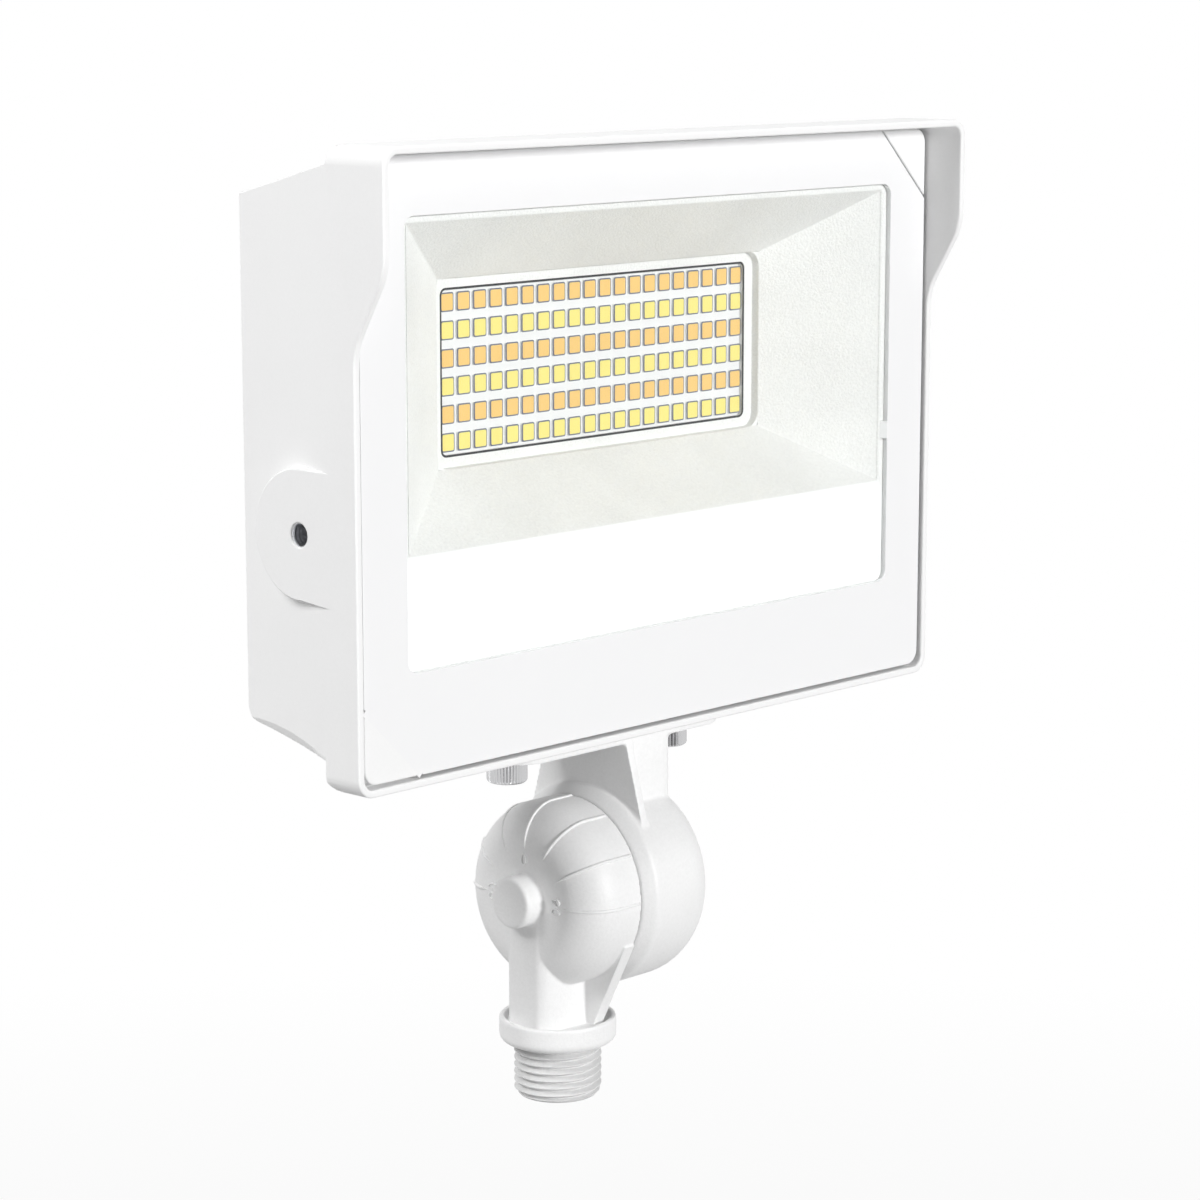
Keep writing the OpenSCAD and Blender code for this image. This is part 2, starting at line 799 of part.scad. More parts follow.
// The driver's outline in X and Z, drawn in by the inset
module driver_outline(inset) {
    translate([0, driver_mid])
        rounded_rect(driver_w - 2 * inset, driver_h - 2 * inset, driver_r);
}

module driver_tray() color([0.75, 0.76, 0.78]) in_head() difference() {
    union() {
        slab(driver_lid_y + driver_wall, bay_back) driver_outline(0);
        slab(bay_back - driver_stand - driver_ear_t, bay_back - driver_stand)
            translate([0, driver_mid])
                square([driver_w + 2 * driver_ear, driver_ear_h], center = true);
    }
    slab(driver_lid_y, bay_back - driver_wall) driver_outline(driver_wall);
    at_driver_screws() round_y(driver_lid_y, bay_back, small_r + screw_clearance);
    translate([wire_x - head_x, (driver_lid_y + bay_back) / 2, driver_z - overrun])
        cylinder(h = driver_wall + 2 * overrun, r = upper_bore_r / 2);
}

module driver_cover() color([0.8, 0.81, 0.82]) in_head() {
    slab(driver_lid_y, driver_lid_y + driver_wall) driver_outline(0);
    slab(driver_lid_y + driver_wall, driver_lid_y + 2 * driver_wall) difference() {
        driver_outline(driver_wall + seat_clearance);
        driver_outline(2 * driver_wall);
    }
}

module driver_board() color([0.15, 0.42, 0.25]) in_head() {
    slab(driver_board_front, driver_board_front + driver_board_t) driver_outline(driver_inset);
    for (x = [-1, 1], z = [-1, 1]) translate([
        x * (driver_w / 2 - driver_post_inset), 0,
        driver_mid + z * (driver_h / 2 - driver_post_inset)
    ]) round_y(driver_board_front + driver_board_t, bay_back - driver_wall, driver_r);
}

module driver_transformer() color([0.2, 0.2, 0.22]) in_head() {
    translate([transformer_x - transformer_w / 2, driver_board_front - transformer_depth,
        driver_mid - transformer_h / 2]) cube([transformer_w, transformer_depth, transformer_h]);
    translate([transformer_x - bobbin_w / 2, driver_board_front - bobbin_depth, driver_mid - bobbin_h / 2])
        cube([bobbin_w, bobbin_depth, bobbin_h]);
}

module driver_capacitors() color([0.1, 0.15, 0.3]) in_head() for (i = [0, 1])
    translate([capacitor_x - i * 2 * (capacitor_r + driver_slack), 0, driver_mid])
        round_y(driver_board_front - capacitor_l, driver_board_front, capacitor_r);

module driver_choke() color([0.7, 0.4, 0.2]) in_head()
    translate([choke_x, driver_board_front - choke_wire_r, driver_mid])
        rotate([90, 0, 0]) rotate_extrude() translate([choke_r - choke_wire_r, 0]) circle(choke_wire_r);

module driver_screws() color(steel) in_head() at_driver_screws()
    translate([0, bay_back - driver_stand - driver_ear_t, 0])
        small_screw(driver_stand + driver_ear_t - screw_clearance);

module wire_grommet() color(rubber_grey) in_head() translate([wire_x - head_x, 0, 0]) difference() {
    cylinder(h = under_h, r = upper_bore_r - seat_clearance);
    translate([0, 0, -overrun]) cylinder(h = under_h + 2 * overrun, r = upper_bore_r - grommet_wall);
}

module pad_gasket() color(rubber_grey) translate([head_x, 0, head_z - gasket_t]) difference() {
    linear_extrude(gasket_t) rounded_rect(
        flange_l - 2 * seat_clearance, flange_w - 2 * seat_clearance, flange_r
    );
    at_arm_screws() translate([0, 0, -overrun]) cylinder(h = gasket_t + 2 * overrun, r = arm_hole_r);
    translate([wire_x - head_x, 0, -overrun]) cylinder(h = gasket_t + 2 * overrun, r = upper_bore_r);
}

// Half of the drum's section, as radius and X
module drum_section() {
    end = arm_offset + drum_l;
    start = arm_offset + part_gap;
    polygon([
        [0, start], [drum_r - drum_lip, start], [drum_r, start + drum_lip_l],
        [drum_r, end - drum_edge_r], [drum_r - drum_edge_r, end], [0, end]
    ]);
    translate([drum_r - drum_lip, start + drum_lip_l]) intersection() {
        circle(drum_lip_l);
        translate([0, -drum_lip_l]) square([drum_lip, drum_lip_l]);
    }
    translate([drum_r - drum_edge_r, end - drum_edge_r]) intersection() {
        circle(drum_edge_r);
        square(drum_edge_r);
    }
}

module upper_arm() color(casting_white) {
    end = arm_offset + drum_l;
    neck_x = arm_offset + neck_front;
    difference() {
        union() {
            about_pivot() drum_section();
            translate([0, 0, pivot_h]) linear_extrude(stem_rise + lap) {
                translate([neck_x, -neck_half_w]) square([neck_l - neck_r, 2 * neck_half_w]);
                translate([neck_x, neck_r - neck_half_w]) square([neck_l, 2 * (neck_half_w - neck_r)]);
                for (y = [-1, 1])
                    translate([neck_x + neck_l - neck_r, y * (neck_half_w - neck_r)]) circle(neck_r);
            }
            along_x(neck_x, neck_x + web_t) polygon([
                [-web_top_half, plate_z + lap],
                [web_top_half, plate_z + lap],
                [web_top_half + (plate_z - pivot_h - web_sink) * web_slope, pivot_h + web_sink],
                [-web_top_half - (plate_z - pivot_h - web_sink) * web_slope, pivot_h + web_sink]
            ]);
            translate([head_x, 0, plate_z]) linear_extrude(flange_t)
                rounded_rect(flange_l, flange_w, flange_r);
        }
        about_pivot() {
            translate([drum_post_r, arm_offset]) square([cup_r - drum_post_r, drum_l - drum_wall]);
            translate([drum_post_r, arm_offset + part_gap + drum_lip_l])
                square([drum_cup_r - drum_post_r, drum_l - drum_wall - part_gap - drum_lip_l]);
            translate([0, arm_offset]) square([bolt_r + bolt_clearance, drum_l]);
            translate([0, end - bolt_well_depth]) square([bolt_well_r, bolt_well_depth + overrun]);
            translate([groove_r, arm_offset]) square([groove_w, groove_depth + part_gap]);
        }
        translate([wire_x, 0, pivot_h + drum_post_r])
            cylinder(h = stem_rise + flange_t, r = upper_bore_r);
        translate([head_x, 0, plate_z - overrun]) at_arm_screws()
            cylinder(h = flange_t + 2 * overrun, r = arm_hole_r);
    }
}

module arm_screws() color(steel) translate([head_x, 0, plate_z]) at_arm_screws() rotate([180, 0, 0])
    screw(arm_screw_l, arm_screw_r, arm_head_r, arm_head_h, arm_hex_r, arm_hex_depth, 6);

module knuckle_seal() color(rubber_grey) about_pivot()
    translate([groove_r + ring_slack, arm_offset])
        square([groove_w - 2 * ring_slack, groove_depth + part_gap]);

// Half of the dome's section, as radius and X, grown by the given height
module dome_section(grow) {
    front = arm_offset - dome_l - grow;
    r = dome_r + grow;
    translate([0, front + dome_edge_r]) square([r, arm_offset - front - dome_edge_r]);
    translate([0, front]) square([r - dome_edge_r, dome_l]);
    translate([r - dome_edge_r, front + dome_edge_r]) intersection() {
        circle(dome_edge_r);
        translate([0, -dome_edge_r]) square(dome_edge_r);
    }
}

// The raised line that runs from the dome's face over its edge to the knuckle's parting plane
module dome_rib(angle) {
    intersection() {
        about_pivot() dome_section(rib_h);
        translate([0, 0, pivot_h]) rotate([angle, 0, 0])
            translate([arm_offset - dome_l - cap_h, -rib_w / 2, rib_start])
                cube([dome_l + cap_h - rib_end_gap, rib_w, dome_r]);
    }
}

module digit_zero() {
    difference() {
        obround(digit_w, digit_tall);
        obround(digit_w - 2 * digit_stroke, digit_tall - 2 * digit_stroke);
    }
}

module digit_nine() {
    r = digit_w / 2;
    translate([0, digit_tall / 2 - r]) difference() {
        circle(r);
        circle(r - digit_stroke);
    }
    translate([r - digit_stroke, -digit_tall / 2]) square([digit_stroke, digit_tall - r]);
}

module obround(w, h) {
    square([w, h - w], center = true);
    for (y = [-1, 1]) translate([0, y * (h - w) / 2]) circle(w / 2);
}

// Sets a drawing on the dome's face, upright towards the given angle from the top
module on_dome_face(angle, r) {
    translate([arm_offset - dome_l + lap, 0, pivot_h]) rotate([angle, 0, 0]) rotate([90, 0, -90])
        linear_extrude(numeral_h + lap) translate([0, r]) children();
}

module scale_marks() {
    for (angle = [-scale_end : rib_step : scale_end]) dome_rib(angle);
    on_dome_face(0, numeral_r) digit_zero();
    for (angle = [-scale_end, scale_end]) on_dome_face(angle, numeral_side_r) {
        translate([-(digit_w + digit_space) / 2, 0]) digit_nine();
        translate([(digit_w + digit_space) / 2, 0]) digit_zero();
    }
}

// Half of the collar's and the thread's section, as radius and Z
module stem_section() {
    end = -thread_length;
    polygon(rounded([
        [0, collar_h - dish_depth, 0],
        [collar_r - collar_lip, collar_h - dish_depth, 0],
        [collar_r - collar_lip, collar_h, 0],
        [collar_r, collar_h, 0],
        [collar_r, 0, collar_edge_r],
        [thread_end_r, 0, 0],
        [0, 0, 0]
    ]));
    polygon([
        [0, lap],
        [thread_r, lap],
        for (i = [0 : thread_turns - 1]) each [
            [thread_r, -i * thread_pitch],
            [thread_r, -i * thread_pitch - thread_land],
            [thread_r - thread_h, -i * thread_pitch - (thread_pitch + thread_land) / 2]
        ],
        [thread_end_r, end + thread_end / 2],
        [thread_end_r - thread_land, end],
        [0, end]
    ]);
}

module lower_arm() color(casting_white) {
    neck_face = arm_offset - dome_l;
    neck_bottom = collar_h - dish_depth - lap;
    web_top = pivot_h - drum_post_r;
    web_half = lower_web_foot + (web_top - neck_bottom) * lower_web_slope;
    difference() {
        union() {
            about_pivot() {
                dome_section(0);
                translate([0, neck_face - cap_h]) square([cap_r, cap_h + lap]);
            }
            rotate_extrude() stem_section();
            translate([0, 0, neck_bottom]) linear_extrude(pivot_h - neck_bottom) {
                translate([neck_face + lower_neck_r, -lower_neck_half_w])
                    square([dome_l - lower_neck_r, 2 * lower_neck_half_w]);
                translate([neck_face, lower_neck_r - lower_neck_half_w])
                    square([dome_l, 2 * (lower_neck_half_w - lower_neck_r)]);
                for (y = [-1, 1])
                    translate([neck_face + lower_neck_r, y * (lower_neck_half_w - lower_neck_r)])
                        circle(lower_neck_r);
            }
            along_x(arm_offset - lower_web_t, arm_offset) polygon([
                [-lower_web_foot, neck_bottom],
                [lower_web_foot, neck_bottom],
                [web_half, web_top],
                [-web_half, web_top]
            ]);
            scale_marks();
        }
        about_pivot() {
            translate([dome_post_r, neck_face + dome_wall])
                square([cup_r - dome_post_r, dome_l - dome_wall + overrun]);
            translate([0, neck_face - cap_h + cap_wall])
                square([bolt_r + bolt_clearance, dome_l + cap_h - cap_wall + overrun]);
        }
        translate([0, 0, -thread_length - overrun])
            cylinder(h = thread_length + collar_floor + overrun, r = wireway_r);
        translate([lower_neck_x, 0, 0])
            cylinder(h = pivot_h - dome_post_r - bolt_r, r = lower_bore_r);
    }
}

module pivot_bolt() color(steel) {
    head_x0 = arm_offset + drum_l - bolt_well_depth + washer_t;
    tip_x = arm_offset - dome_l - cap_h + cap_wall + bolt_end_gap;
    translate([head_x0, 0, pivot_h]) rotate([0, 90, 0])
        screw(head_x0 - tip_x, bolt_r, bolt_head_r, bolt_head_h, bolt_hex_r, bolt_hex_depth, 6);
}

module bolt_washer() color(steel) about_pivot()
    translate([bolt_r + bolt_clearance, arm_offset + drum_l - bolt_well_depth])
        square([washer_r - bolt_r - bolt_clearance, washer_t]);

housing();
front_frame();
front_glass();
panel_seal();
reflector();
reflector_screws();
led_board();
warm_leds();
cool_leds();
thermal_pad();
board_screws();
driver_tray();
driver_cover();
driver_board();
driver_transformer();
driver_capacitors();
driver_choke();
driver_screws();
wire_grommet();
pad_gasket();
upper_arm();
arm_screws();
knuckle_seal();
lower_arm();
pivot_bolt();
bolt_washer();
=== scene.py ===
"""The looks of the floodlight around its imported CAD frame.

Lengths are in millimetres, apart from those of the lamps and the floor, which are in metres.
"""

import json
import math

import bmesh
import bpy
from mathutils import Matrix, Vector
from mathutils.bvhtree import BVHTree

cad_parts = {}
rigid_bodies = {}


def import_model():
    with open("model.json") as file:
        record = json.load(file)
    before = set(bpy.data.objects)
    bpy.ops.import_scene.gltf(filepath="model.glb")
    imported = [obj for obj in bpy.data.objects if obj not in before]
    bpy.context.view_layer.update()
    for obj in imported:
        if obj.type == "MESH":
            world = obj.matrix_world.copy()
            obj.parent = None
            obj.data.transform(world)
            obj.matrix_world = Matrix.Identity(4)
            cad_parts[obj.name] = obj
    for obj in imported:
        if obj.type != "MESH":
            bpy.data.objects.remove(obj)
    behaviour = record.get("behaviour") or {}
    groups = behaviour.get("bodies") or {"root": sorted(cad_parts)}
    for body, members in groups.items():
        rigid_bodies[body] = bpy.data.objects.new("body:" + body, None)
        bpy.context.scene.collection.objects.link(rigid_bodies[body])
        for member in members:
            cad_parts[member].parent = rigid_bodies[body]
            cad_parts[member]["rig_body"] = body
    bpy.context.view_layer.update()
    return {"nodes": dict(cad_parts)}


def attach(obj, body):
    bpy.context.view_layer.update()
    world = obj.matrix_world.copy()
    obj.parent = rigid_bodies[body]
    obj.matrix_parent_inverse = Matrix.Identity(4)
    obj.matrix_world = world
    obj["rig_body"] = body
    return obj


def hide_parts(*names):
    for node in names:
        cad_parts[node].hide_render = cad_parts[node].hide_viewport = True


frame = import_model()

MM = 0.001

# Places shared with the CAD model
HEAD_X = 10.8  # the middle of the head
PIVOT_Z = 36.5  # the knuckle's axis
PLATE_Z = 72.3  # the underside of the flange
FLANGE_TOP = 76.3
PART_X = 5.4  # the plane where the knuckle's halves meet
LED_Z = 163.2  # the middle of the led field
BOARD_Y = -2.3  # the front of the led board
KNUCKLE = (0, PIVOT_Z)
SCREW_X = (HEAD_X - 27.35, HEAD_X + 27.35)


# Mesh helpers


def mesh_object(name, verts, faces, smooth=True):
    """A closed mesh from points in millimetres, in the frame's axes."""
    mesh = bpy.data.meshes.new(name)
    mesh.from_pydata([Vector(v) * MM for v in verts], [], faces)
    made = bmesh.new()
    made.from_mesh(mesh)
    bmesh.ops.recalc_face_normals(made, faces=made.faces)
    made.to_mesh(mesh)
    made.free()
    if smooth:
        mesh.shade_smooth()
    obj = bpy.data.objects.new(name, mesh)
    bpy.context.scene.collection.objects.link(obj)
    return obj


def bend(a, b, c, r, steps):
    """Points of a bend of radius r at the corner b between a and c."""
    a, b, c = Vector(a), Vector(b), Vector(c)
    u, v = (a - b).normalized(), (c - b).normalized()
    half = math.acos(max(-1, min(1, u.dot(v)))) / 2
    middle = b + (u + v).normalized() * (r / math.sin(half))
    start = b + u * (r / math.tan(half)) - middle
    turn = (math.pi - 2 * half) * (-1 if u.x * v.y - u.y * v.x > 0 else 1)
    points = []
    for i in range(steps + 1):
        t = turn * i / steps
        points.append((
            middle.x + start.x * math.cos(t) - start.y * math.sin(t),
            middle.y + start.x * math.sin(t) + start.y * math.cos(t),
        ))
    return points


def outline(corners, steps=8):
    """A closed outline whose corners (x, y, r) are rounded where r is above zero."""
    points = []
    for i, (x, y, r) in enumerate(corners):
        if r > 0:
            before, after = corners[i - 1], corners[(i + 1) % len(corners)]
            points += bend(before[:2], (x, y), after[:2], r, steps)
        else:
            points.append((x, y))
    return points


def rounded_box(w, h, r, cx=0.0, cy=0.0):
    """Corners of a w by h rectangle with radius r."""
    return [
        (cx + sx * w / 2, cy + sy * h / 2, r)
        for sx, sy in ((-1, -1), (1, -1), (1, 1), (-1, 1))
    ]


def band(p, q, n):
    """The faces between two loops of n points, the first points of which are p and q."""
    return [(p + k, p + (k + 1) % n, q + (k + 1) % n, q + k) for k in range(n)]


def place(axis, u, v, w):
    """The point whose coordinate along the axis is w and across it u and v."""
    return {"x": (w, u, v), "y": (u, w, v), "z": (u, v, w)}[axis]


def spin(axis, centre, r, a, w):
    """The point at radius r and angle a about the axis through the centre."""
    return place(axis, centre[0] + r * math.cos(a), centre[1] + r * math.sin(a), w)


def prism(name, points, axis, low, high):
    """The outline carried along an axis."""
    n = len(points)
    verts = [place(axis, u, v, w) for w in (low, high) for u, v in points]
    faces = [tuple(range(n)), tuple(range(2 * n - 1, n - 1, -1))]
    return mesh_object(name, verts, faces + band(0, n, n))


def revolve(name, profile, axis, centre, segments=96, closed=False):
    """A profile of (radius, place along the axis) turned round it.

    An open profile starts and ends on the axis. A closed one makes a ring.
    """
    on_axis = 1e-6
    verts, faces, rows = [], [], []
    for r, w in profile:
        if r < on_axis:
            rows.append([len(verts)] * segments)
            verts.append(spin(axis, centre, 0.0, 0.0, w))
            continue
        rows.append(list(range(len(verts), len(verts) + segments)))
        for k in range(segments):
            verts.append(spin(axis, centre, r, 2 * math.pi * k / segments, w))
    last = len(rows) if closed else len(rows) - 1
    for i in range(last):
        p, q = rows[i], rows[(i + 1) % len(rows)]
        for k in range(segments):
            j = (k + 1) % segments
            face = [p[k], p[j], q[j], q[k]]
            face = [v for n, v in enumerate(face) if v not in face[:n]]
            if len(face) > 2:
                faces.append(face)
    return mesh_object(name, verts, faces)


def joined(objs, name):
    """Several meshes as one object."""
    made = bmesh.new()
    for o in objs:
        made.from_mesh(o.data)
        bpy.data.objects.remove(o)
    mesh = bpy.data.meshes.new(name)
    made.to_mesh(mesh)
    made.free()
    mesh.shade_smooth()
    obj = bpy.data.objects.new(name, mesh)
    bpy.context.scene.collection.objects.link(obj)
    return obj


def baked(obj):
    """Applies an object's modifiers."""
    graph = bpy.context.evaluated_depsgraph_get()
    graph.update()
    mesh = bpy.data.meshes.new_from_object(obj.evaluated_get(graph))
    obj.modifiers.clear()
    obj.data = mesh
    return obj


def cast(obj, voxel, rounds):
    """Melts overlapping shells into one casting with soft edges and fillets."""
    melt = obj.modifiers.new("melt", "REMESH")
    melt.mode = "VOXEL"
    melt.voxel_size = voxel * MM
    soften = obj.modifiers.new("soften", "SMOOTH")
    soften.factor = 0.5
    soften.iterations = rounds
    baked(obj)
    obj.data.shade_smooth()
    return obj


def drill(axis, centre, r, low, high, segments=96):
    """A tool that cuts a round hole."""
    return revolve("tool", [(0, low), (r, low), (r, high), (0, high)], axis, centre, segments)


def ring_drill(axis, centre, inner, outer, low, high):
    """A tool that cuts a ring-shaped hole."""
    section = [(inner, low), (outer, low), (outer, high), (inner, high)]
    return revolve("tool", section, axis, centre, closed=True)


def cut(obj, tools):
    """Takes the tools' volume out of obj."""
    for tool in tools:
        hole = obj.modifiers.new("hole", "BOOLEAN")
        hole.operation = "DIFFERENCE"
        hole.solver = "MANIFOLD"
        hole.object = tool
        baked(obj)
        bpy.data.objects.remove(tool)
    return obj


FINER_CREASE = 18


def crease(obj, degrees, finer=None):
    """Keeps edges sharper than the angle crisp, and softer ones too where finer() says so."""
    made = bmesh.new()
    made.from_mesh(obj.data)
    limit = math.radians(degrees)
    for f in made.faces:
        f.smooth = True
    for e in made.edges:
        here = limit
        if finer and all(finer(v.co / MM) for v in e.verts):
            here = math.radians(FINER_CREASE)
        e.smooth = len(e.link_faces) != 2 or e.calc_face_angle() < here
    made.to_mesh(obj.data)
    made.free()
    return obj


# CAD nodes with rounded edges

WELD = 0.002
FLAT_WITHIN = 0.5
SHARP_FROM = 30
DRESSED_CREASE = 50


def cad_copy(node, name):
    """A copy of a CAD node, its flat faces merged and cut into triangles anew."""
    mesh = frame["nodes"][node].data.copy()
    mesh.name = name
    made = bmesh.new()
    made.from_mesh(mesh)
    bmesh.ops.remove_doubles(made, verts=made.verts, dist=WELD * MM)
    bmesh.ops.dissolve_limit(
        made, angle_limit=math.radians(FLAT_WITHIN), verts=made.verts, edges=made.edges
    )
    bmesh.ops.triangulate(made, faces=made.faces, quad_method="BEAUTY", ngon_method="BEAUTY")
    made.to_mesh(mesh)
    made.free()
    mesh.shade_smooth()
    obj = bpy.data.objects.new(name, mesh)
    bpy.context.scene.collection.objects.link(obj)
    return obj


def pulled_back(obj, mesh, reach):
    """Puts the points of obj that are farther from the mesh than the reach back on it."""
    skin = BVHTree.FromPolygons(
        [v.co for v in mesh.vertices], [list(f.vertices) for f in mesh.polygons]
    )
    for v in obj.data.vertices:
        near, _, _, away = skin.find_nearest(v.co)
        if away > reach * MM:
            v.co = near


def boxed(obj, mesh):
    """Keeps the points of obj within the mesh's box."""
    low = [min(v.co[i] for v in mesh.vertices) for i in range(3)]
    high = [max(v.co[i] for v in mesh.vertices) for i in range(3)]
    for v in obj.data.vertices:
        v.co = [min(max(v.co[i], low[i]), high[i]) for i in range(3)]


def dressed(node, name, width, segments=3, finer=None, reach=None):
    """A copy of a CAD node with every sharp edge rounded by the width."""
    obj = cad_copy(node, name)
    mesh = obj.data
    rounding = obj.modifiers.new("rounding", "BEVEL")
    rounding.width = width * MM
    rounding.segments = segments
    rounding.limit_method = "ANGLE"
    rounding.angle_limit = math.radians(SHARP_FROM)
    rounding.use_clamp_overlap = False
    rounding.loop_slide = False
    baked(obj)
    if reach:
        pulled_back(obj, mesh, reach)
    boxed(obj, mesh)
    flatten = obj.modifiers.new("flatten", "WEIGHTED_NORMAL")
    flatten.mode = "FACE_AREA"
    flatten.weight = 100
    flatten.keep_sharp = True
    baked(crease(obj, DRESSED_CREASE, finer))
    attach(obj, frame["nodes"][node]["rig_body"])
    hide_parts(node)
    return obj


# Materials

NOISE_SPAN = (0.3, 0.7)  # the values that a noise texture mostly has
BROAD_SCALE = 40.0
ROUGH_SPAN = 0.06


def blank_material(name):
    """A material with only its output node, and its nodes and links."""
    mat = bpy.data.materials.new(name)
    mat.use_nodes = True
    nodes, links = mat.node_tree.nodes, mat.node_tree.links
    nodes.clear()
    return mat, nodes, links, nodes.new("ShaderNodeOutputMaterial")


def rescale(nodes, source, target):
    """A node that carries a value from one span to another."""
    node = nodes.new("ShaderNodeMapRange")
    for side, span in (("From", source), ("To", target)):
        node.inputs[side + " Min"].default_value = span[0]
        node.inputs[side + " Max"].default_value = span[1]
    return node


def seen_directly(nodes, links):
    """A socket that is 1 for what the camera or a mirror sees, and 0 for the light on things."""
    path = nodes.new("ShaderNodeLightPath")
    most = nodes.new("ShaderNodeMath")
    most.operation = "MAXIMUM"
    links.new(path.outputs["Is Camera Ray"], most.inputs[0])
    links.new(path.outputs["Is Glossy Ray"], most.inputs[1])
    return most.outputs[0]


def material(name, color, rough, metal=0.0, grain=900, relief=0.0, depth=0.02, tint=0.0):
    """A moulded, cast or machined surface.

    Its colour drifts a little, and fine grain shows in its gloss and relief.
    """
    mat, nodes, links, out = blank_material(name)
    skin = nodes.new("ShaderNodeBsdfPrincipled")
    links.new(skin.outputs["BSDF"], out.inputs["Surface"])
    place_in = nodes.new("ShaderNodeTexCoord")
    fine = nodes.new("ShaderNodeTexNoise")
    fine.inputs["Scale"].default_value = grain
    fine.inputs["Detail"].default_value = 3.0
    fine.inputs["Roughness"].default_value = 0.6
    links.new(place_in.outputs["Object"], fine.inputs["Vector"])
    broad = nodes.new("ShaderNodeTexNoise")
    broad.inputs["Scale"].default_value = BROAD_SCALE
    broad.inputs["Detail"].default_value = 2.0
    links.new(place_in.outputs["Object"], broad.inputs["Vector"])
    both = nodes.new("ShaderNodeMix")
    both.inputs["Factor"].default_value = 0.6
    links.new(broad.outputs["Fac"], both.inputs["A"])
    links.new(fine.outputs["Fac"], both.inputs["B"])
    shade = rescale(nodes, NOISE_SPAN, (1.0 - tint, 1.0))
    links.new(both.outputs["Result"], shade.inputs["Value"])
    colour = nodes.new("ShaderNodeMix")
    colour.data_type = "RGBA"
    colour.blend_type = "MULTIPLY"
    colour.inputs["Factor"].default_value = 1.0
    colour.inputs["A"].default_value = (*color, 1.0)
    links.new(shade.outputs["Result"], colour.inputs["B"])
    links.new(colour.outputs["Result"], skin.inputs["Base Color"])
    gloss = rescale(nodes, NOISE_SPAN, (max(0.02, rough - ROUGH_SPAN), min(1.0, rough + ROUGH_SPAN)))
    links.new(fine.outputs["Fac"], gloss.inputs["Value"])
    links.new(gloss.outputs["Result"], skin.inputs["Roughness"])
    skin.inputs["Metallic"].default_value = metal
    if relief > 0:
        bump = nodes.new("ShaderNodeBump")
        bump.inputs["Strength"].default_value = relief
        bump.inputs["Distance"].default_value = depth * MM
        links.new(fine.outputs["Fac"], bump.inputs["Height"])
        links.new(bump.outputs["Normal"], skin.inputs["Normal"])
    return mat


def pane_material():
    """A clear pane that lets the lamps through and mirrors a little at a slant."""
    mat, nodes, links, out = blank_material("clear_pane")
    through = nodes.new("ShaderNodeBsdfTransparent")
    through.inputs["Color"].default_value = (0.995, 1.0, 0.998, 1.0)
    mirror = nodes.new("ShaderNodeBsdfGlossy")
    mirror.inputs["Roughness"].default_value = 0.02
    edge = nodes.new("ShaderNodeFresnel")
    edge.inputs["IOR"].default_value = 1.15
    mix = nodes.new("ShaderNodeMixShader")
    links.new(edge.outputs["Fac"], mix.inputs["Fac"])
    links.new(through.outputs["BSDF"], mix.inputs[1])
    links.new(mirror.outputs["BSDF"], mix.inputs[2])
    links.new(mix.outputs["Shader"], out.inputs["Surface"])
    return mat


WHITE = material(
    "white_powder_coat", (0.88, 0.88, 0.88), 0.5, grain=1400, relief=0.25, depth=0.03, tint=0.03
)
CAST = material(
    "cast_powder_coat", (0.88, 0.88, 0.88), 0.5, grain=1300, relief=0.7, depth=0.09, tint=0.07
)
# Painted shade: the casting's white coat made darker for the thread, standing in for the shade that
# the thread shows
THREAD_SHADED_COAT = material(
    "thread_coat_painted_shade", (0.74, 0.74, 0.74), 0.5, grain=1300, relief=0.7, depth=0.09, tint=0.1
)
PANEL = material(
    "panel_white", (0.86, 0.86, 0.865), 0.4, grain=2500, relief=0.04, depth=0.01, tint=0.01
)
PAN = material(
    "reflector_white", (0.93, 0.93, 0.92), 0.6, grain=1800, relief=1.0, depth=0.2, tint=0.16
)
APRON = material(
    "reflector_apron", (0.92, 0.92, 0.92), 0.5, grain=2200, relief=0.05, depth=0.01, tint=0.01
)
BOARD = material(
    "board_white", (0.85, 0.85, 0.85), 0.45, grain=2500, relief=0.05, depth=0.01, tint=0.02
)
RUBBER = material(
    "seal_rubber", (0.05, 0.05, 0.055), 0.7, grain=1500, relief=0.3, depth=0.02, tint=0.2
)
STEEL = material(
    "screw_steel", (0.62, 0.62, 0.63), 0.2, 1.0, grain=2500, relief=0.1, depth=0.01, tint=0.06
)
ORANGE = material(
    "led_orange", (0.88, 0.58, 0.2), 0.35, grain=6000, relief=0.1, depth=0.01, tint=0.05
)
YELLOW = material(
    "led_yellow", (0.9, 0.78, 0.24), 0.35, grain=6000, relief=0.1, depth=0.01, tint=0.05
)
LED_EDGE = material(
    "led_edge", (0.16, 0.18, 0.24), 0.5, grain=4000, relief=0.1, depth=0.01, tint=0.1
)
# Painted shadow: the black of the shadow line in the gap round the led field
SHADOW_LINE = material(
    "painted_shadow_line_black", (0.03, 0.032, 0.036), 0.6, grain=3000, relief=0.1, depth=0.01, tint=0.15
)
PASTE = material(
    "thermal_grey", (0.42, 0.46, 0.5), 0.6, grain=1200, relief=0.3, depth=0.03, tint=0.1
)
TRAY = material(
    "tray_metal", (0.6, 0.61, 0.63), 0.35, 1.0, grain=1500, relief=0.1, depth=0.01, tint=0.08
)
LAMINATE = material(
    "board_green", (0.03, 0.16, 0.07), 0.4, grain=2000, relief=0.15, depth=0.02, tint=0.25
)
CORE = material(
    "core_black", (0.035, 0.035, 0.04), 0.5, grain=1200, relief=0.2, depth=0.02, tint=0.2
)
SLEEVE = material(
    "sleeve_blue", (0.03, 0.05, 0.14), 0.3, grain=900, relief=0.05, depth=0.01, tint=0.1
)
COPPER = material(
    "copper_wire", (0.62, 0.27, 0.12), 0.3, 1.0, grain=900, relief=0.2, depth=0.03, tint=0.2
)
PANE = pane_material()


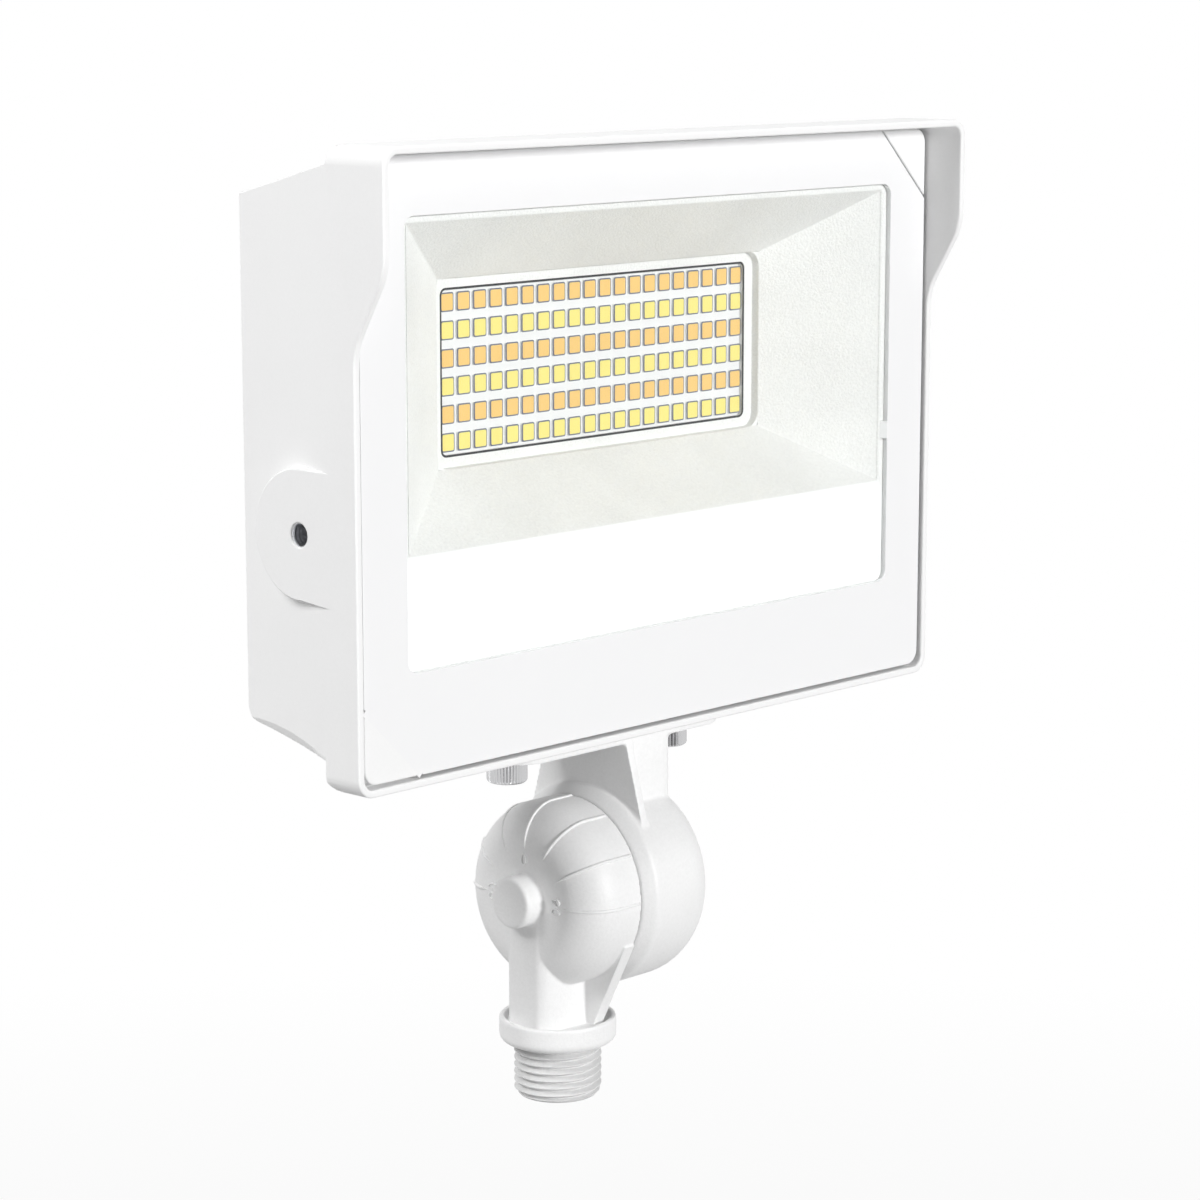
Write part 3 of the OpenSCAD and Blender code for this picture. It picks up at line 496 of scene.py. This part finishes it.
def coat(obj, mat, slot=None):
    """Gives the object one material."""
    obj.data.materials.clear()
    obj.data.materials.append(mat)
    for f in obj.data.polygons:
        f.material_index = 0
    return obj


def stands_for(obj, body, mat, slot, *nodes):
    """A new piece on a body, in place of CAD nodes where they are given."""
    coat(obj, mat, slot)
    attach(obj, body)
    if nodes:
        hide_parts(*nodes)
    return obj


# Housing

HOUSING_ROUND = 0.45
SCALLOP_OUT = 88
SCALLOP_FRONT = -14
SCALLOP_TOP = 92


def at_scallop(v):
    """Whether a point is where the housing's side is scooped out along its lower edge."""
    return abs(v.x - HEAD_X) > SCALLOP_OUT and v.y > SCALLOP_FRONT and v.z < SCALLOP_TOP


housing = dressed("housing", "housing_casting", HOUSING_ROUND, finer=at_scallop, reach=HOUSING_ROUND)
coat(housing, WHITE, "white_casting")

# Front panel, and the pane, a little wider and thinner than in the CAD so that its gap is narrow

PANE_CENTRE = Vector((HEAD_X, -22.93, 151.45)) * MM
PANE_HALF_W = 80.45
PANE_HALF_H = 48.75
PANE_GROWTH = 0.06
PANE_THINNING = 0.943

coat(dressed("front_frame", "front_panel", 0.25), PANEL, "panel_white")
pane = coat(dressed("front_glass", "front_pane", 0.05, 2), PANE, "clear_pane")
pane_fit = Matrix.Diagonal((
    1 + PANE_GROWTH / PANE_HALF_W, PANE_THINNING, 1 + PANE_GROWTH / PANE_HALF_H, 1.0,
))
pane.data.transform(Matrix.Translation(PANE_CENTRE) @ pane_fit @ Matrix.Translation(-PANE_CENTRE))

# Reflector, with a smoother flat apron below the pan

APRON_FRONT = -22.7
APRON_TOP = 128.5
FACING_FRONT = -0.9

pan = coat(dressed("reflector", "reflector_pan", 0.25), PAN, "reflector_white")
pan.data.materials.append(APRON)
for face in pan.data.polygons:
    on_apron = face.center.y < APRON_FRONT * MM and face.center.z < APRON_TOP * MM
    if on_apron and face.normal.y < FACING_FRONT:
        face.material_index = 1

# The filler of the gap between the panel and the lug at its bottom left corner

FILLER = [(-65.9, 80.5), (-82.2, 96.8), (-83.25, 95.75), (-66.95, 79.45)]
FILLER_FRONT = -24.293
FILLER_BACK = -23.4

filler = crease(prism("corner_filler", FILLER, "y", FILLER_FRONT, FILLER_BACK), 30)
stands_for(filler, "head", PANEL, "panel_white")

# Board and gasket, and the hidden parts, which keep their CAD shapes

coat(dressed("led_board", "led_circuit_board", 0.1, 2), BOARD, "board_white")
coat(dressed("pad_gasket", "arm_gasket", 0.15, 2), RUBBER, "seal_rubber")

HIDDEN = {
    "panel_seal": RUBBER,
    "reflector_screws": STEEL,
    "board_screws": STEEL,
    "thermal_pad": PASTE,
    "driver_tray": TRAY,
    "driver_cover": TRAY,
    "driver_board": LAMINATE,
    "driver_transformer": CORE,
    "driver_capacitors": SLEEVE,
    "driver_choke": COPPER,
    "driver_screws": STEEL,
    "wire_grommet": RUBBER,
    "knuckle_seal": RUBBER,
    "bolt_washer": STEEL,
}
for node, mat in HIDDEN.items():
    held = frame["nodes"][node].data.materials
    held.clear()
    held.append(mat)


# The bare threads in the two tapped side holes

HOLE_Y = -6.9
HOLE_Z = 132.7
HOLE_DEPTH = 12.0
LINING_R = 2.66  # a little wider than the hole, so that the outside lies in the metal
LINING_ROOT = 2.5
LINING_CREST = 2.3
LINING_TURNS = 11


def thread_lining(name, mouth, inward):
    """The thread on the wall of a tapped hole, as one ridge for every millimetre."""
    ridges = [(LINING_R, 0.5)]
    for turn in range(LINING_TURNS):
        ridges += [
            (LINING_ROOT, turn + 0.55), (LINING_CREST, turn + 0.95),
            (LINING_CREST, turn + 1.05), (LINING_ROOT, turn + 1.45),
        ]
    ridges.append((LINING_R, HOLE_DEPTH - 0.1))
    section = [(r, mouth + inward * deep) for r, deep in ridges]
    return crease(revolve(name, section, "x", (HOLE_Y, HOLE_Z), 48, closed=True), 30)


for name, mouth, inward in (("side_thread_left", -85.2, 1), ("side_thread_right", 106.8, -1)):
    stands_for(thread_lining(name, mouth, inward), "head", TRAY, "tray_metal")


# Leds, each a white body, a dark outline and a coloured window

LED_COLUMNS = 20
LED_ROWS = 6
LED_PITCH = (5.055, 6.27)
LED_SIZE = (4.07, 4.3)
LED_CORNER = 0.5
LED_BEVEL = 0.08
WINDOW_BORDER = 0.25
WINDOW_CORNER = 0.35


def chip_layer(name, rows, border, r, rise, base):
    """One rounded tile for every led of the rows, its face at the rise and its back at the base."""
    w, h = LED_SIZE[0] - 2 * border, LED_SIZE[1] - 2 * border
    front, back = BOARD_Y - rise, BOARD_Y - base
    verts, faces = [], []
    for row in rows:
        for column in range(LED_COLUMNS):
            x = HEAD_X + (column - (LED_COLUMNS - 1) / 2) * LED_PITCH[0]
            z = LED_Z + ((LED_ROWS - 1) / 2 - row) * LED_PITCH[1]
            rim = outline(rounded_box(w, h, r, x, z), 3)
            crown = outline(rounded_box(w - 2 * LED_BEVEL, h - 2 * LED_BEVEL, r, x, z), 3)
            n = len(rim)
            start = len(verts)
            verts += [(u, back, v) for u, v in rim]
            verts += [(u, front + LED_BEVEL, v) for u, v in rim]
            verts += [(u, front, v) for u, v in crown]
            faces += band(start, start + n, n)
            faces += band(start + n, start + 2 * n, n)
            faces.append(tuple(start + 2 * n + i for i in range(n)))
            faces.append(tuple(start + i for i in reversed(range(n))))
    return mesh_object(name, verts, faces, smooth=False)


for name, rows, mat, slot, node in (
    ("warm", (0, 2, 4), ORANGE, "led_orange", "warm_leds"),
    ("cool", (1, 3, 5), YELLOW, "led_yellow", "cool_leds"),
):
    bodies = chip_layer(name + "_led_bodies", rows, 0.0, LED_CORNER, 0.46, 0.0)
    stands_for(bodies, "head", BOARD, "board_white", node)
    outlines = chip_layer(name + "_led_outlines", rows, 0.0, LED_CORNER, 0.57, 0.45)
    stands_for(outlines, "head", LED_EDGE, slot)
    windows = chip_layer(name + "_led_windows", rows, WINDOW_BORDER, WINDOW_CORNER, 0.6, 0.5)
    stands_for(windows, "head", mat, slot)


# The black sheet round the led field, which paints the shadow in the gap between the board and the
# reflector's lip

FIELD_W = 100.42
FIELD_H = 36.85
FIELD_CORNER = 1.2
SHADOW_SHEET_W = 0.5
SHADOW_SHEET_SOFT = 0.05
SHADOW_SHEET_FRONT = BOARD_Y - 1.05
SHADOW_SHEET_BACK = BOARD_Y - 0.9


def frame_ring(name, w, h, r, edge, front, back):
    """A flat rounded frame round a w by h opening about the led field's middle, with softened rims."""
    soft = min(SHADOW_SHEET_SOFT, (back - front) / 2)
    section = (
        (0.0, back), (0.0, front + soft), (soft, front),
        (edge - soft, front), (edge, front + soft), (edge, back),
    )
    loops = []
    for grow, y in section:
        corners = rounded_box(w + 2 * grow, h + 2 * grow, r + grow, HEAD_X, LED_Z)
        loops.append([(u, y, v) for u, v in outline(corners, 8)])
    n = len(loops[0])
    verts = [v for loop in loops for v in loop]
    faces = []
    for level in range(len(loops)):
        faces += band(level * n, (level + 1) % len(loops) * n, n)
    return mesh_object(name, verts, faces)


# Painted shadow: a black sheet for the shade in the gap round the led field, no rubber seal, though
# its slot is named seal_rubber
painted_shadow_sheet = frame_ring("led_field_painted_shadow", FIELD_W, FIELD_H, FIELD_CORNER, SHADOW_SHEET_W, SHADOW_SHEET_FRONT, SHADOW_SHEET_BACK)
stands_for(painted_shadow_sheet, "head", SHADOW_LINE, "seal_rubber")


# Upper arm

ARM_STEPS = 14
CAST_CREASE = 38
DOME_R = 22.3
DRUM_R = 24.7
DRUM_START = PART_X + 0.2
DRUM_END = 31.6
BOLT_HOLE_R = 4.05
NECK_END = 74.0


def upper_arm():
    """The casting of the drum, its neck and web, and the flange under the head."""
    drum = outline([
        (0.0, DRUM_START, 0), (DOME_R, DRUM_START, 0.8), (DRUM_R, 8.7, 2.0),
        (DRUM_R, DRUM_END, 10.7), (0.0, DRUM_END, 0),
    ], ARM_STEPS)
    neck = outline([(10.0, -12.7, 0), (27.6, -12.7, 4.5), (27.6, 12.7, 4.5), (10.0, 12.7, 0)])
    web = [(-12.6, NECK_END), (12.6, NECK_END), (20.1, 47.0), (-20.1, 47.0)]
    flange = outline(rounded_box(73.3, 25.4, 9.3, HEAD_X, 0))
    arm = cast(joined([
        revolve("drum", drum, "x", KNUCKLE),
        prism("upper_neck", neck, "z", PIVOT_Z, NECK_END),
        prism("upper_web", web, "x", 10.0, 12.3),
        prism("flange", flange, "z", PLATE_Z, FLANGE_TOP),
    ], "upper_arm_casting"), 0.4, 4)
    wire_ring = [(10.2, 5.0), (17.5, 5.0), (17.5, 8.7), (20.5, 8.7), (20.5, 26.5), (10.2, 26.5)]
    bolt_well = [(0, 22.0), (7.6, 22.0), (7.6, 31.2), (8.1, 32.2), (0, 32.2)]
    tools = [
        revolve("tool", wire_ring, "x", KNUCKLE, closed=True),
        drill("x", KNUCKLE, BOLT_HOLE_R, 4.0, 33.0),
        revolve("tool", bolt_well, "x", KNUCKLE),
        ring_drill("x", KNUCKLE, 18.7, 21.1, 4.0, 7.5),
        drill("z", (18.8, 0), 5.5, 50.0, 78.0, 48),
    ]
    tools += [drill("z", (x, 0), 3.4, 70.0, 78.0, 48) for x in SCREW_X]
    return crease(cut(arm, tools), CAST_CREASE)


stands_for(upper_arm(), "head", CAST, "white_casting", "upper_arm")


# Lower arm

DOME_FACE = -11.0
DOME_EDGE = 9.5
CAP_R = 6.2
CAP_FACE = -16.1
COLLAR_R = 14.0
COLLAR_TOP = 6.1


def lower_arm():
    """The casting of the dome with its cap, the neck, the web and the collar."""
    dome = outline([
        (0.0, CAP_FACE, 0), (CAP_R, CAP_FACE, 0.9), (CAP_R, DOME_FACE, 0),
        (DOME_R, DOME_FACE, DOME_EDGE), (DOME_R, PART_X, 0), (0.0, PART_X, 0),
    ], ARM_STEPS)
    neck_x = DOME_FACE - 0.3
    neck = outline([(neck_x, -7.4, 4.0), (PART_X, -7.4, 0), (PART_X, 7.4, 0), (neck_x, 7.4, 4.0)])
    web = [(-9.4, 4.0), (9.4, 4.0), (20.2, 26.0), (-20.2, 26.0)]
    collar = outline([
        (0.0, 4.9, 0), (12.6, 4.9, 0.3), (12.6, COLLAR_TOP, 0.3), (COLLAR_R, COLLAR_TOP, 0.5),
        (COLLAR_R, 0.0, 2.0), (0.0, 0.0, 0),
    ], 8)
    arm = cast(joined([
        revolve("dome", dome, "x", KNUCKLE),
        prism("lower_neck", neck, "z", 3.5, PIVOT_Z),
        prism("lower_web", web, "x", 2.1, PART_X),
        revolve("collar", collar, "z", (0, 0)),
    ], "lower_arm_casting"), 0.3, 3)
    cut(arm, [
        ring_drill("x", KNUCKLE, 8.5, 17.5, -7.5, 6.5),
        drill("x", KNUCKLE, BOLT_HOLE_R, -13.1, 6.5),
        drill("z", (0, 0), 7.0, -1.0, 3.0, 64),
        drill("z", (-2.8, 0), 5.0, 2.0, 24.0, 48),
    ])
    return crease(arm, CAST_CREASE)


stands_for(lower_arm(), "stem", CAST, "white_casting", "lower_arm")


# Tilt scale

RIB_START_R = 12.0
RIB_END_GAP = 0.7
RIB_HEIGHT = 0.38
RIB_HALF_W = 0.42
DIGIT_W = 0.72
DIGIT_H = 1.25
DIGIT_SHIFT = 1.15
STROKE_HALF_W = 0.17
STROKE_HEIGHT = 0.42
ROUND_SIDES = 8


def dome_point(s, lift):
    """A point (radius, x) on the dome's section, lifted square to it.

    The length s runs along the section from the ribs' first point on the dome's face.
    """
    flat = DOME_R - DOME_EDGE - RIB_START_R
    if s < flat:
        return RIB_START_R + s, DOME_FACE - lift
    s -= flat
    arc = DOME_EDGE * math.pi / 2
    if s < arc:
        a = s / DOME_EDGE
        r = DOME_EDGE + lift
        return DOME_R - DOME_EDGE + r * math.sin(a), DOME_FACE + DOME_EDGE - r * math.cos(a)
    return DOME_R + lift, DOME_FACE + DOME_EDGE + s - arc


def dome_ribs():
    """The seven raised lines of the tilt scale, each thinner at its first point."""
    flat = DOME_R - DOME_EDGE - RIB_START_R
    arc = DOME_EDGE * math.pi / 2
    length = flat + arc + PART_X - DOME_FACE - DOME_EDGE - RIB_END_GAP
    steps, sides = 40, ROUND_SIDES
    verts, faces = [], []
    for degrees in range(-90, 91, 30):
        a = math.radians(degrees)
        start = len(verts)
        for i in range(steps + 1):
            s = length * i / steps
            swell = min(1.0, 6.0 * i / steps + 0.15)
            for k in range(sides):
                b = math.pi * 2 * k / sides
                r, x = dome_point(s, RIB_HEIGHT * swell * math.sin(b))
                side = RIB_HALF_W * swell * math.cos(b)
                y = -r * math.sin(a) + side * math.cos(a)
                z = r * math.cos(a) + side * math.sin(a)
                verts.append((x, y, PIVOT_Z + z))
        for i in range(steps):
            faces += band(start + i * sides, start + (i + 1) * sides, sides)
        faces.append(tuple(start + k for k in range(sides)))
        faces.append(tuple(start + steps * sides + k for k in range(sides)))
    return mesh_object("scale_ribs", verts, faces)


stands_for(dome_ribs(), "stem", CAST, "white_casting")


def stroke(verts, faces, points, closed, to_world):
    """A raised stroke of a numeral along points in the numeral's own plane."""
    sides = ROUND_SIDES
    n = len(points)
    start = len(verts)
    for i, (u, v) in enumerate(points):
        before = points[(i - 1) % n] if closed or i else points[i]
        after = points[(i + 1) % n] if closed or i < n - 1 else points[i]
        along = Vector((after[0] - before[0], after[1] - before[1])).normalized()
        for k in range(sides):
            b = 2 * math.pi * k / sides
            off, up = STROKE_HALF_W * math.cos(b), STROKE_HEIGHT * math.sin(b)
            verts.append(to_world(u - along.y * off, v + along.x * off, up))
    for i in range(n if closed else n - 1):
        faces += band(start + i * sides, start + ((i + 1) % n) * sides, sides)
    if not closed:
        faces.append(tuple(start + k for k in range(sides)))
        faces.append(tuple(start + (n - 1) * sides + k for k in range(sides)))


def ring(cx, cy, rx, ry, first=0, last=360, steps=28):
    """Points of an ellipse, or of a part of it."""
    whole = last - first == 360
    points = []
    for i in range(steps if whole else steps + 1):
        a = math.radians(first + (last - first) * i / steps)
        points.append((cx + rx * math.cos(a), cy + ry * math.sin(a)))
    return points


def numeral_seat(degrees, radius):
    """The way from a numeral's own plane to its place on the dome's face."""
    a = math.radians(degrees)

    def to_world(u, v, up):
        r = radius + v
        y = -r * math.sin(a) - u * math.cos(a)
        z = r * math.cos(a) - u * math.sin(a)
        return DOME_FACE - up, y, PIVOT_Z + z

    return to_world


def scale_numerals():
    """The 0 at the top of the tilt scale and the 90 at each side."""
    verts, faces = [], []
    stroke(verts, faces, ring(0, 0, DIGIT_W, DIGIT_H), True, numeral_seat(0, 9.7))
    for degrees in (-90, 90):
        seat = numeral_seat(degrees, 10.4)
        stroke(verts, faces, ring(DIGIT_SHIFT, 0, DIGIT_W, DIGIT_H), True, seat)
        stroke(verts, faces, ring(-DIGIT_SHIFT, 0.5, DIGIT_W, 0.75), True, seat)
        stroke(verts, faces, ring(-1.95, 0.45, 1.5, 1.7, 0, -72, 12), False, seat)
    return mesh_object("scale_numerals", verts, faces)


stands_for(scale_numerals(), "stem", CAST, "white_casting")


# Thread

THREAD_R = 10.45
THREAD_PITCH = 1.814
THREAD_DEPTH = 1.3
THREAD_TOP = 1.0
THREAD_END = -13.084
THREAD_FLAT = 0.12  # the share of half a turn that is flat at the crest, and at the root
END_R = 9.3
END_SLOPE = 0.9
BORE_R = 7.0
BORE_CHAMFER = 0.5


def thread():
    """The stem's helical thread with its chamfered end and the wire hole."""
    around, rows = 120, 150
    verts, faces = [], []
    for i in range(rows + 1):
        z = THREAD_TOP + (THREAD_END - THREAD_TOP) * i / rows
        for k in range(around):
            phase = (-z / THREAD_PITCH + k / around + 0.25) % 1.0
            slope = abs(phase - 0.5) * 2
            share = (1.0 - THREAD_FLAT - slope) / (1.0 - 2 * THREAD_FLAT)
            r = THREAD_R - THREAD_DEPTH * min(1.0, max(0.0, share))
            r = min(r, END_R + (z - THREAD_END) * END_SLOPE)
            verts.append(spin("z", (0, 0), r, 2 * math.pi * k / around, z))
    for i in range(rows):
        faces += band(i * around, (i + 1) * around, around)
    bore = len(verts)
    for r, z in (
        (BORE_R + BORE_CHAMFER, THREAD_END), (BORE_R, THREAD_END + BORE_CHAMFER), (BORE_R, THREAD_TOP)
    ):
        verts += [spin("z", (0, 0), r, 2 * math.pi * k / around, z) for k in range(around)]
    loops = [rows * around, bore, bore + around, bore + 2 * around, 0]
    for p, q in zip(loops, loops[1:]):
        faces += band(p, q, around)
    return mesh_object("stem_thread", verts, faces)


# The thread's coat is the casting's white, darkened to paint its shade
stands_for(crease(thread(), 40), "stem", THREAD_SHADED_COAT, "white_casting")


# Screws

SCREW_CREASE = 35
FLUTE_DEPTH = 0.4
FLUTE_POINTS = 6
SOCKET_CHAMFER = 0.25
SOCKET_FLARE = 1.12
SOCKET_CONE = 0.8


def hexagon(centre, r, z, around):
    """Points round a hexagon whose corners are at radius r."""
    loop = []
    for k in range(around):
        a = 2 * math.pi * k / around
        d = r * math.cos(math.pi / 6) / math.cos((a % (math.pi / 3)) - math.pi / 6)
        loop.append(spin("z", centre, d, a, z))
    return loop


def knurled_head(name, centre, base, height, radius, drive_r, drive_depth, flutes=36):
    """A cap screw's head below a seat, with a fluted side, a chamfered rim and a hexagon socket."""
    around = flutes * FLUTE_POINTS
    verts, faces = [], []
    low = base - height
    # Height, share of the radius and share of the flutes' depth
    rows = [
        (base, 0.985, 0.0), (base - 0.35, 1.0, 1.0), (low + 0.75, 1.0, 1.0),
        (low + 0.3, 0.965, 0.4), (low, 0.88, 0.0),
    ]
    for z, share, flute in rows:
        for k in range(around):
            a = 2 * math.pi * k / around
            r = radius * share - FLUTE_DEPTH * flute * (0.5 - 0.5 * math.cos(flutes * a))
            verts.append(spin("z", centre, r, a, z))
    for i in range(len(rows) - 1):
        faces += band(i * around, (i + 1) * around, around)
    loops = [(len(rows) - 1) * around]
    for r, z in (
        (drive_r * SOCKET_FLARE, low), (drive_r, low + SOCKET_CHAMFER), (drive_r, low + drive_depth)
    ):
        loops.append(len(verts))
        verts += hexagon(centre, r, z, around)
    for p, q in zip(loops, loops[1:]):
        faces += band(p, q, around)
    tip = len(verts)
    verts.append((*centre, low + drive_depth + SOCKET_CONE))
    faces += [(loops[-1] + k, loops[-1] + (k + 1) % around, tip) for k in range(around)]
    faces.append(tuple(range(around)))
    return mesh_object(name, verts, faces)


def shank(axis, centre, r, end, seat, tip_round, segments):
    """A screw's plain shank from its rounded end to the inside of its head."""
    section = outline([(0, end, 0), (r, end, tip_round), (r, seat, 0), (0, seat, 0)], 4)
    return revolve("shank", section, axis, centre, segments)


def arm_screws():
    """The two cap screws that hold the flange to the housing."""
    made = []
    for x in SCREW_X:
        made.append(knurled_head("head", (x, 0.0), PLATE_Z, 6.3, 4.8, 2.75, 3.2))
        made.append(shank("z", (x, 0.0), 3.15, 90.0, 71.0, 0.6, 40))
    return joined(made, "flange_screws")


def knuckle_bolt():
    """The clamp bolt on the knuckle's axis, its head sunk in the drum."""
    seat_x = 23.6
    head = knurled_head("head", (0.0, 0.0), 0.0, 7.5, 6.5, 3.45, 4.0, flutes=40)
    turned = Matrix.Rotation(-math.pi / 2, 4, "Y")
    head.data.transform(Matrix.Translation((seat_x * MM, 0, PIVOT_Z * MM)) @ turned)
    return joined([head, shank("x", KNUCKLE, 4.0, -12.6, 24.0, 0.6, 48)], "knuckle_bolt")


stands_for(crease(arm_screws(), SCREW_CREASE), "head", STEEL, "steel", "arm_screws")
stands_for(crease(knuckle_bolt(), SCREW_CREASE), "stem", STEEL, "steel", "pivot_bolt")


# Camera

CAMERA_PLACE = (-552.69, -545.56, 249.15)
CAMERA_RIGHT = (0.69318, -0.72076, 0.0)
CAMERA_FORWARD = (0.70891, 0.68178, -0.18061)


def photo_camera():
    """The camera of the photograph, found from its vanishing points."""
    data = bpy.data.cameras.new("camera")
    data.sensor_width = 36.0
    data.lens = 101.4
    data.clip_end = 20.0
    camera = bpy.data.objects.new("camera", data)
    right = Vector(CAMERA_RIGHT)
    forward = Vector(CAMERA_FORWARD)
    up = right.cross(forward)
    turn = Matrix((right, up, -forward)).transposed().to_4x4()
    camera.matrix_world = Matrix.Translation(Vector(CAMERA_PLACE) * MM) @ turn
    bpy.context.scene.collection.objects.link(camera)
    bpy.context.scene.camera = camera


photo_camera()


# Lamps and world

AIM = (0.01, 0.0, 0.13)
PLAIN_WHITE = (1, 1, 1, 1)
ROOM_LIGHT = 0.15


def lamp(name, spot, target, size, watts):
    """A square soft lamp that looks at a point."""
    data = bpy.data.lights.new(name, "AREA")
    data.size = size
    data.energy = watts
    obj = bpy.data.objects.new(name, data)
    obj.location = Vector(spot)
    obj.rotation_mode = "QUATERNION"
    obj.rotation_quaternion = (Vector(target) - Vector(spot)).to_track_quat("-Z", "Y")
    bpy.context.scene.collection.objects.link(obj)


lamp("key", (0.1, -1.9, 0.52), AIM, 0.42, 31.0)
lamp("side", (-1.4, 0.25, 1.4), AIM, 0.9, 28.5)
lamp("low", (-1.6, 0.2, -0.05), AIM, 0.6, 3.0)
lamp("top", (0.0, 0.2, 1.8), AIM, 1.2, 6.0)


def background(nodes, strength):
    """A plain white background of a strength."""
    node = nodes.new("ShaderNodeBackground")
    node.inputs["Color"].default_value = PLAIN_WHITE
    node.inputs["Strength"].default_value = strength
    return node


def studio_world():
    """A world that is white to the camera and gives the object only a little light."""
    world = bpy.data.worlds.new("studio")
    bpy.context.scene.world = world
    world.use_nodes = True
    nodes, links = world.node_tree.nodes, world.node_tree.links
    nodes.clear()
    out = nodes.new("ShaderNodeOutputWorld")
    room = background(nodes, ROOM_LIGHT)
    seen = background(nodes, 1.0)
    choose = nodes.new("ShaderNodeMixShader")
    links.new(seen_directly(nodes, links), choose.inputs["Fac"])
    links.new(room.outputs[0], choose.inputs[1])
    links.new(seen.outputs[0], choose.inputs[2])
    links.new(choose.outputs[0], out.inputs["Surface"])


studio_world()


# Floor

FLOOR_Z = -0.50
FLOOR_HALF = 6
FADE_FROM = (0.6, 1.8)
FADE_TO = (0.85, 1.0)


def floor_white():
    """A floor that looks white, a little less so near the object, where it keeps its shadow."""
    mat = material("floor_white", (0.36, 0.36, 0.36), 0.7, grain=60, tint=0.01)
    nodes, links = mat.node_tree.nodes, mat.node_tree.links
    skin = next(n for n in nodes if n.type == "BSDF_PRINCIPLED")
    out = next(n for n in nodes if n.type == "OUTPUT_MATERIAL")
    place_in = nodes.new("ShaderNodeTexCoord")
    far = nodes.new("ShaderNodeVectorMath")
    far.operation = "LENGTH"
    links.new(place_in.outputs["Object"], far.inputs[0])
    fade = rescale(nodes, FADE_FROM, FADE_TO)
    links.new(far.outputs["Value"], fade.inputs["Value"])
    share = nodes.new("ShaderNodeMath")
    share.operation = "MULTIPLY"
    links.new(seen_directly(nodes, links), share.inputs[0])
    links.new(fade.outputs["Result"], share.inputs[1])
    glow = nodes.new("ShaderNodeEmission")
    glow.inputs["Color"].default_value = PLAIN_WHITE
    glow.inputs["Strength"].default_value = 1.0
    mix = nodes.new("ShaderNodeMixShader")
    links.new(share.outputs[0], mix.inputs["Fac"])
    links.new(skin.outputs["BSDF"], mix.inputs[1])
    links.new(glow.outputs["Emission"], mix.inputs[2])
    links.new(mix.outputs["Shader"], out.inputs["Surface"])
    return mat


floor_mesh = bpy.data.meshes.new("floor")
floor_mesh.from_pydata(
    [(x * FLOOR_HALF, y * FLOOR_HALF, FLOOR_Z) for x, y in ((-1, -1), (1, -1), (1, 1), (-1, 1))],
    [], [(0, 1, 2, 3)],
)
floor = bpy.data.objects.new("floor", floor_mesh)
bpy.context.scene.collection.objects.link(floor)
floor.data.materials.append(floor_white())

bpy.context.scene.view_settings.view_transform = "Standard"
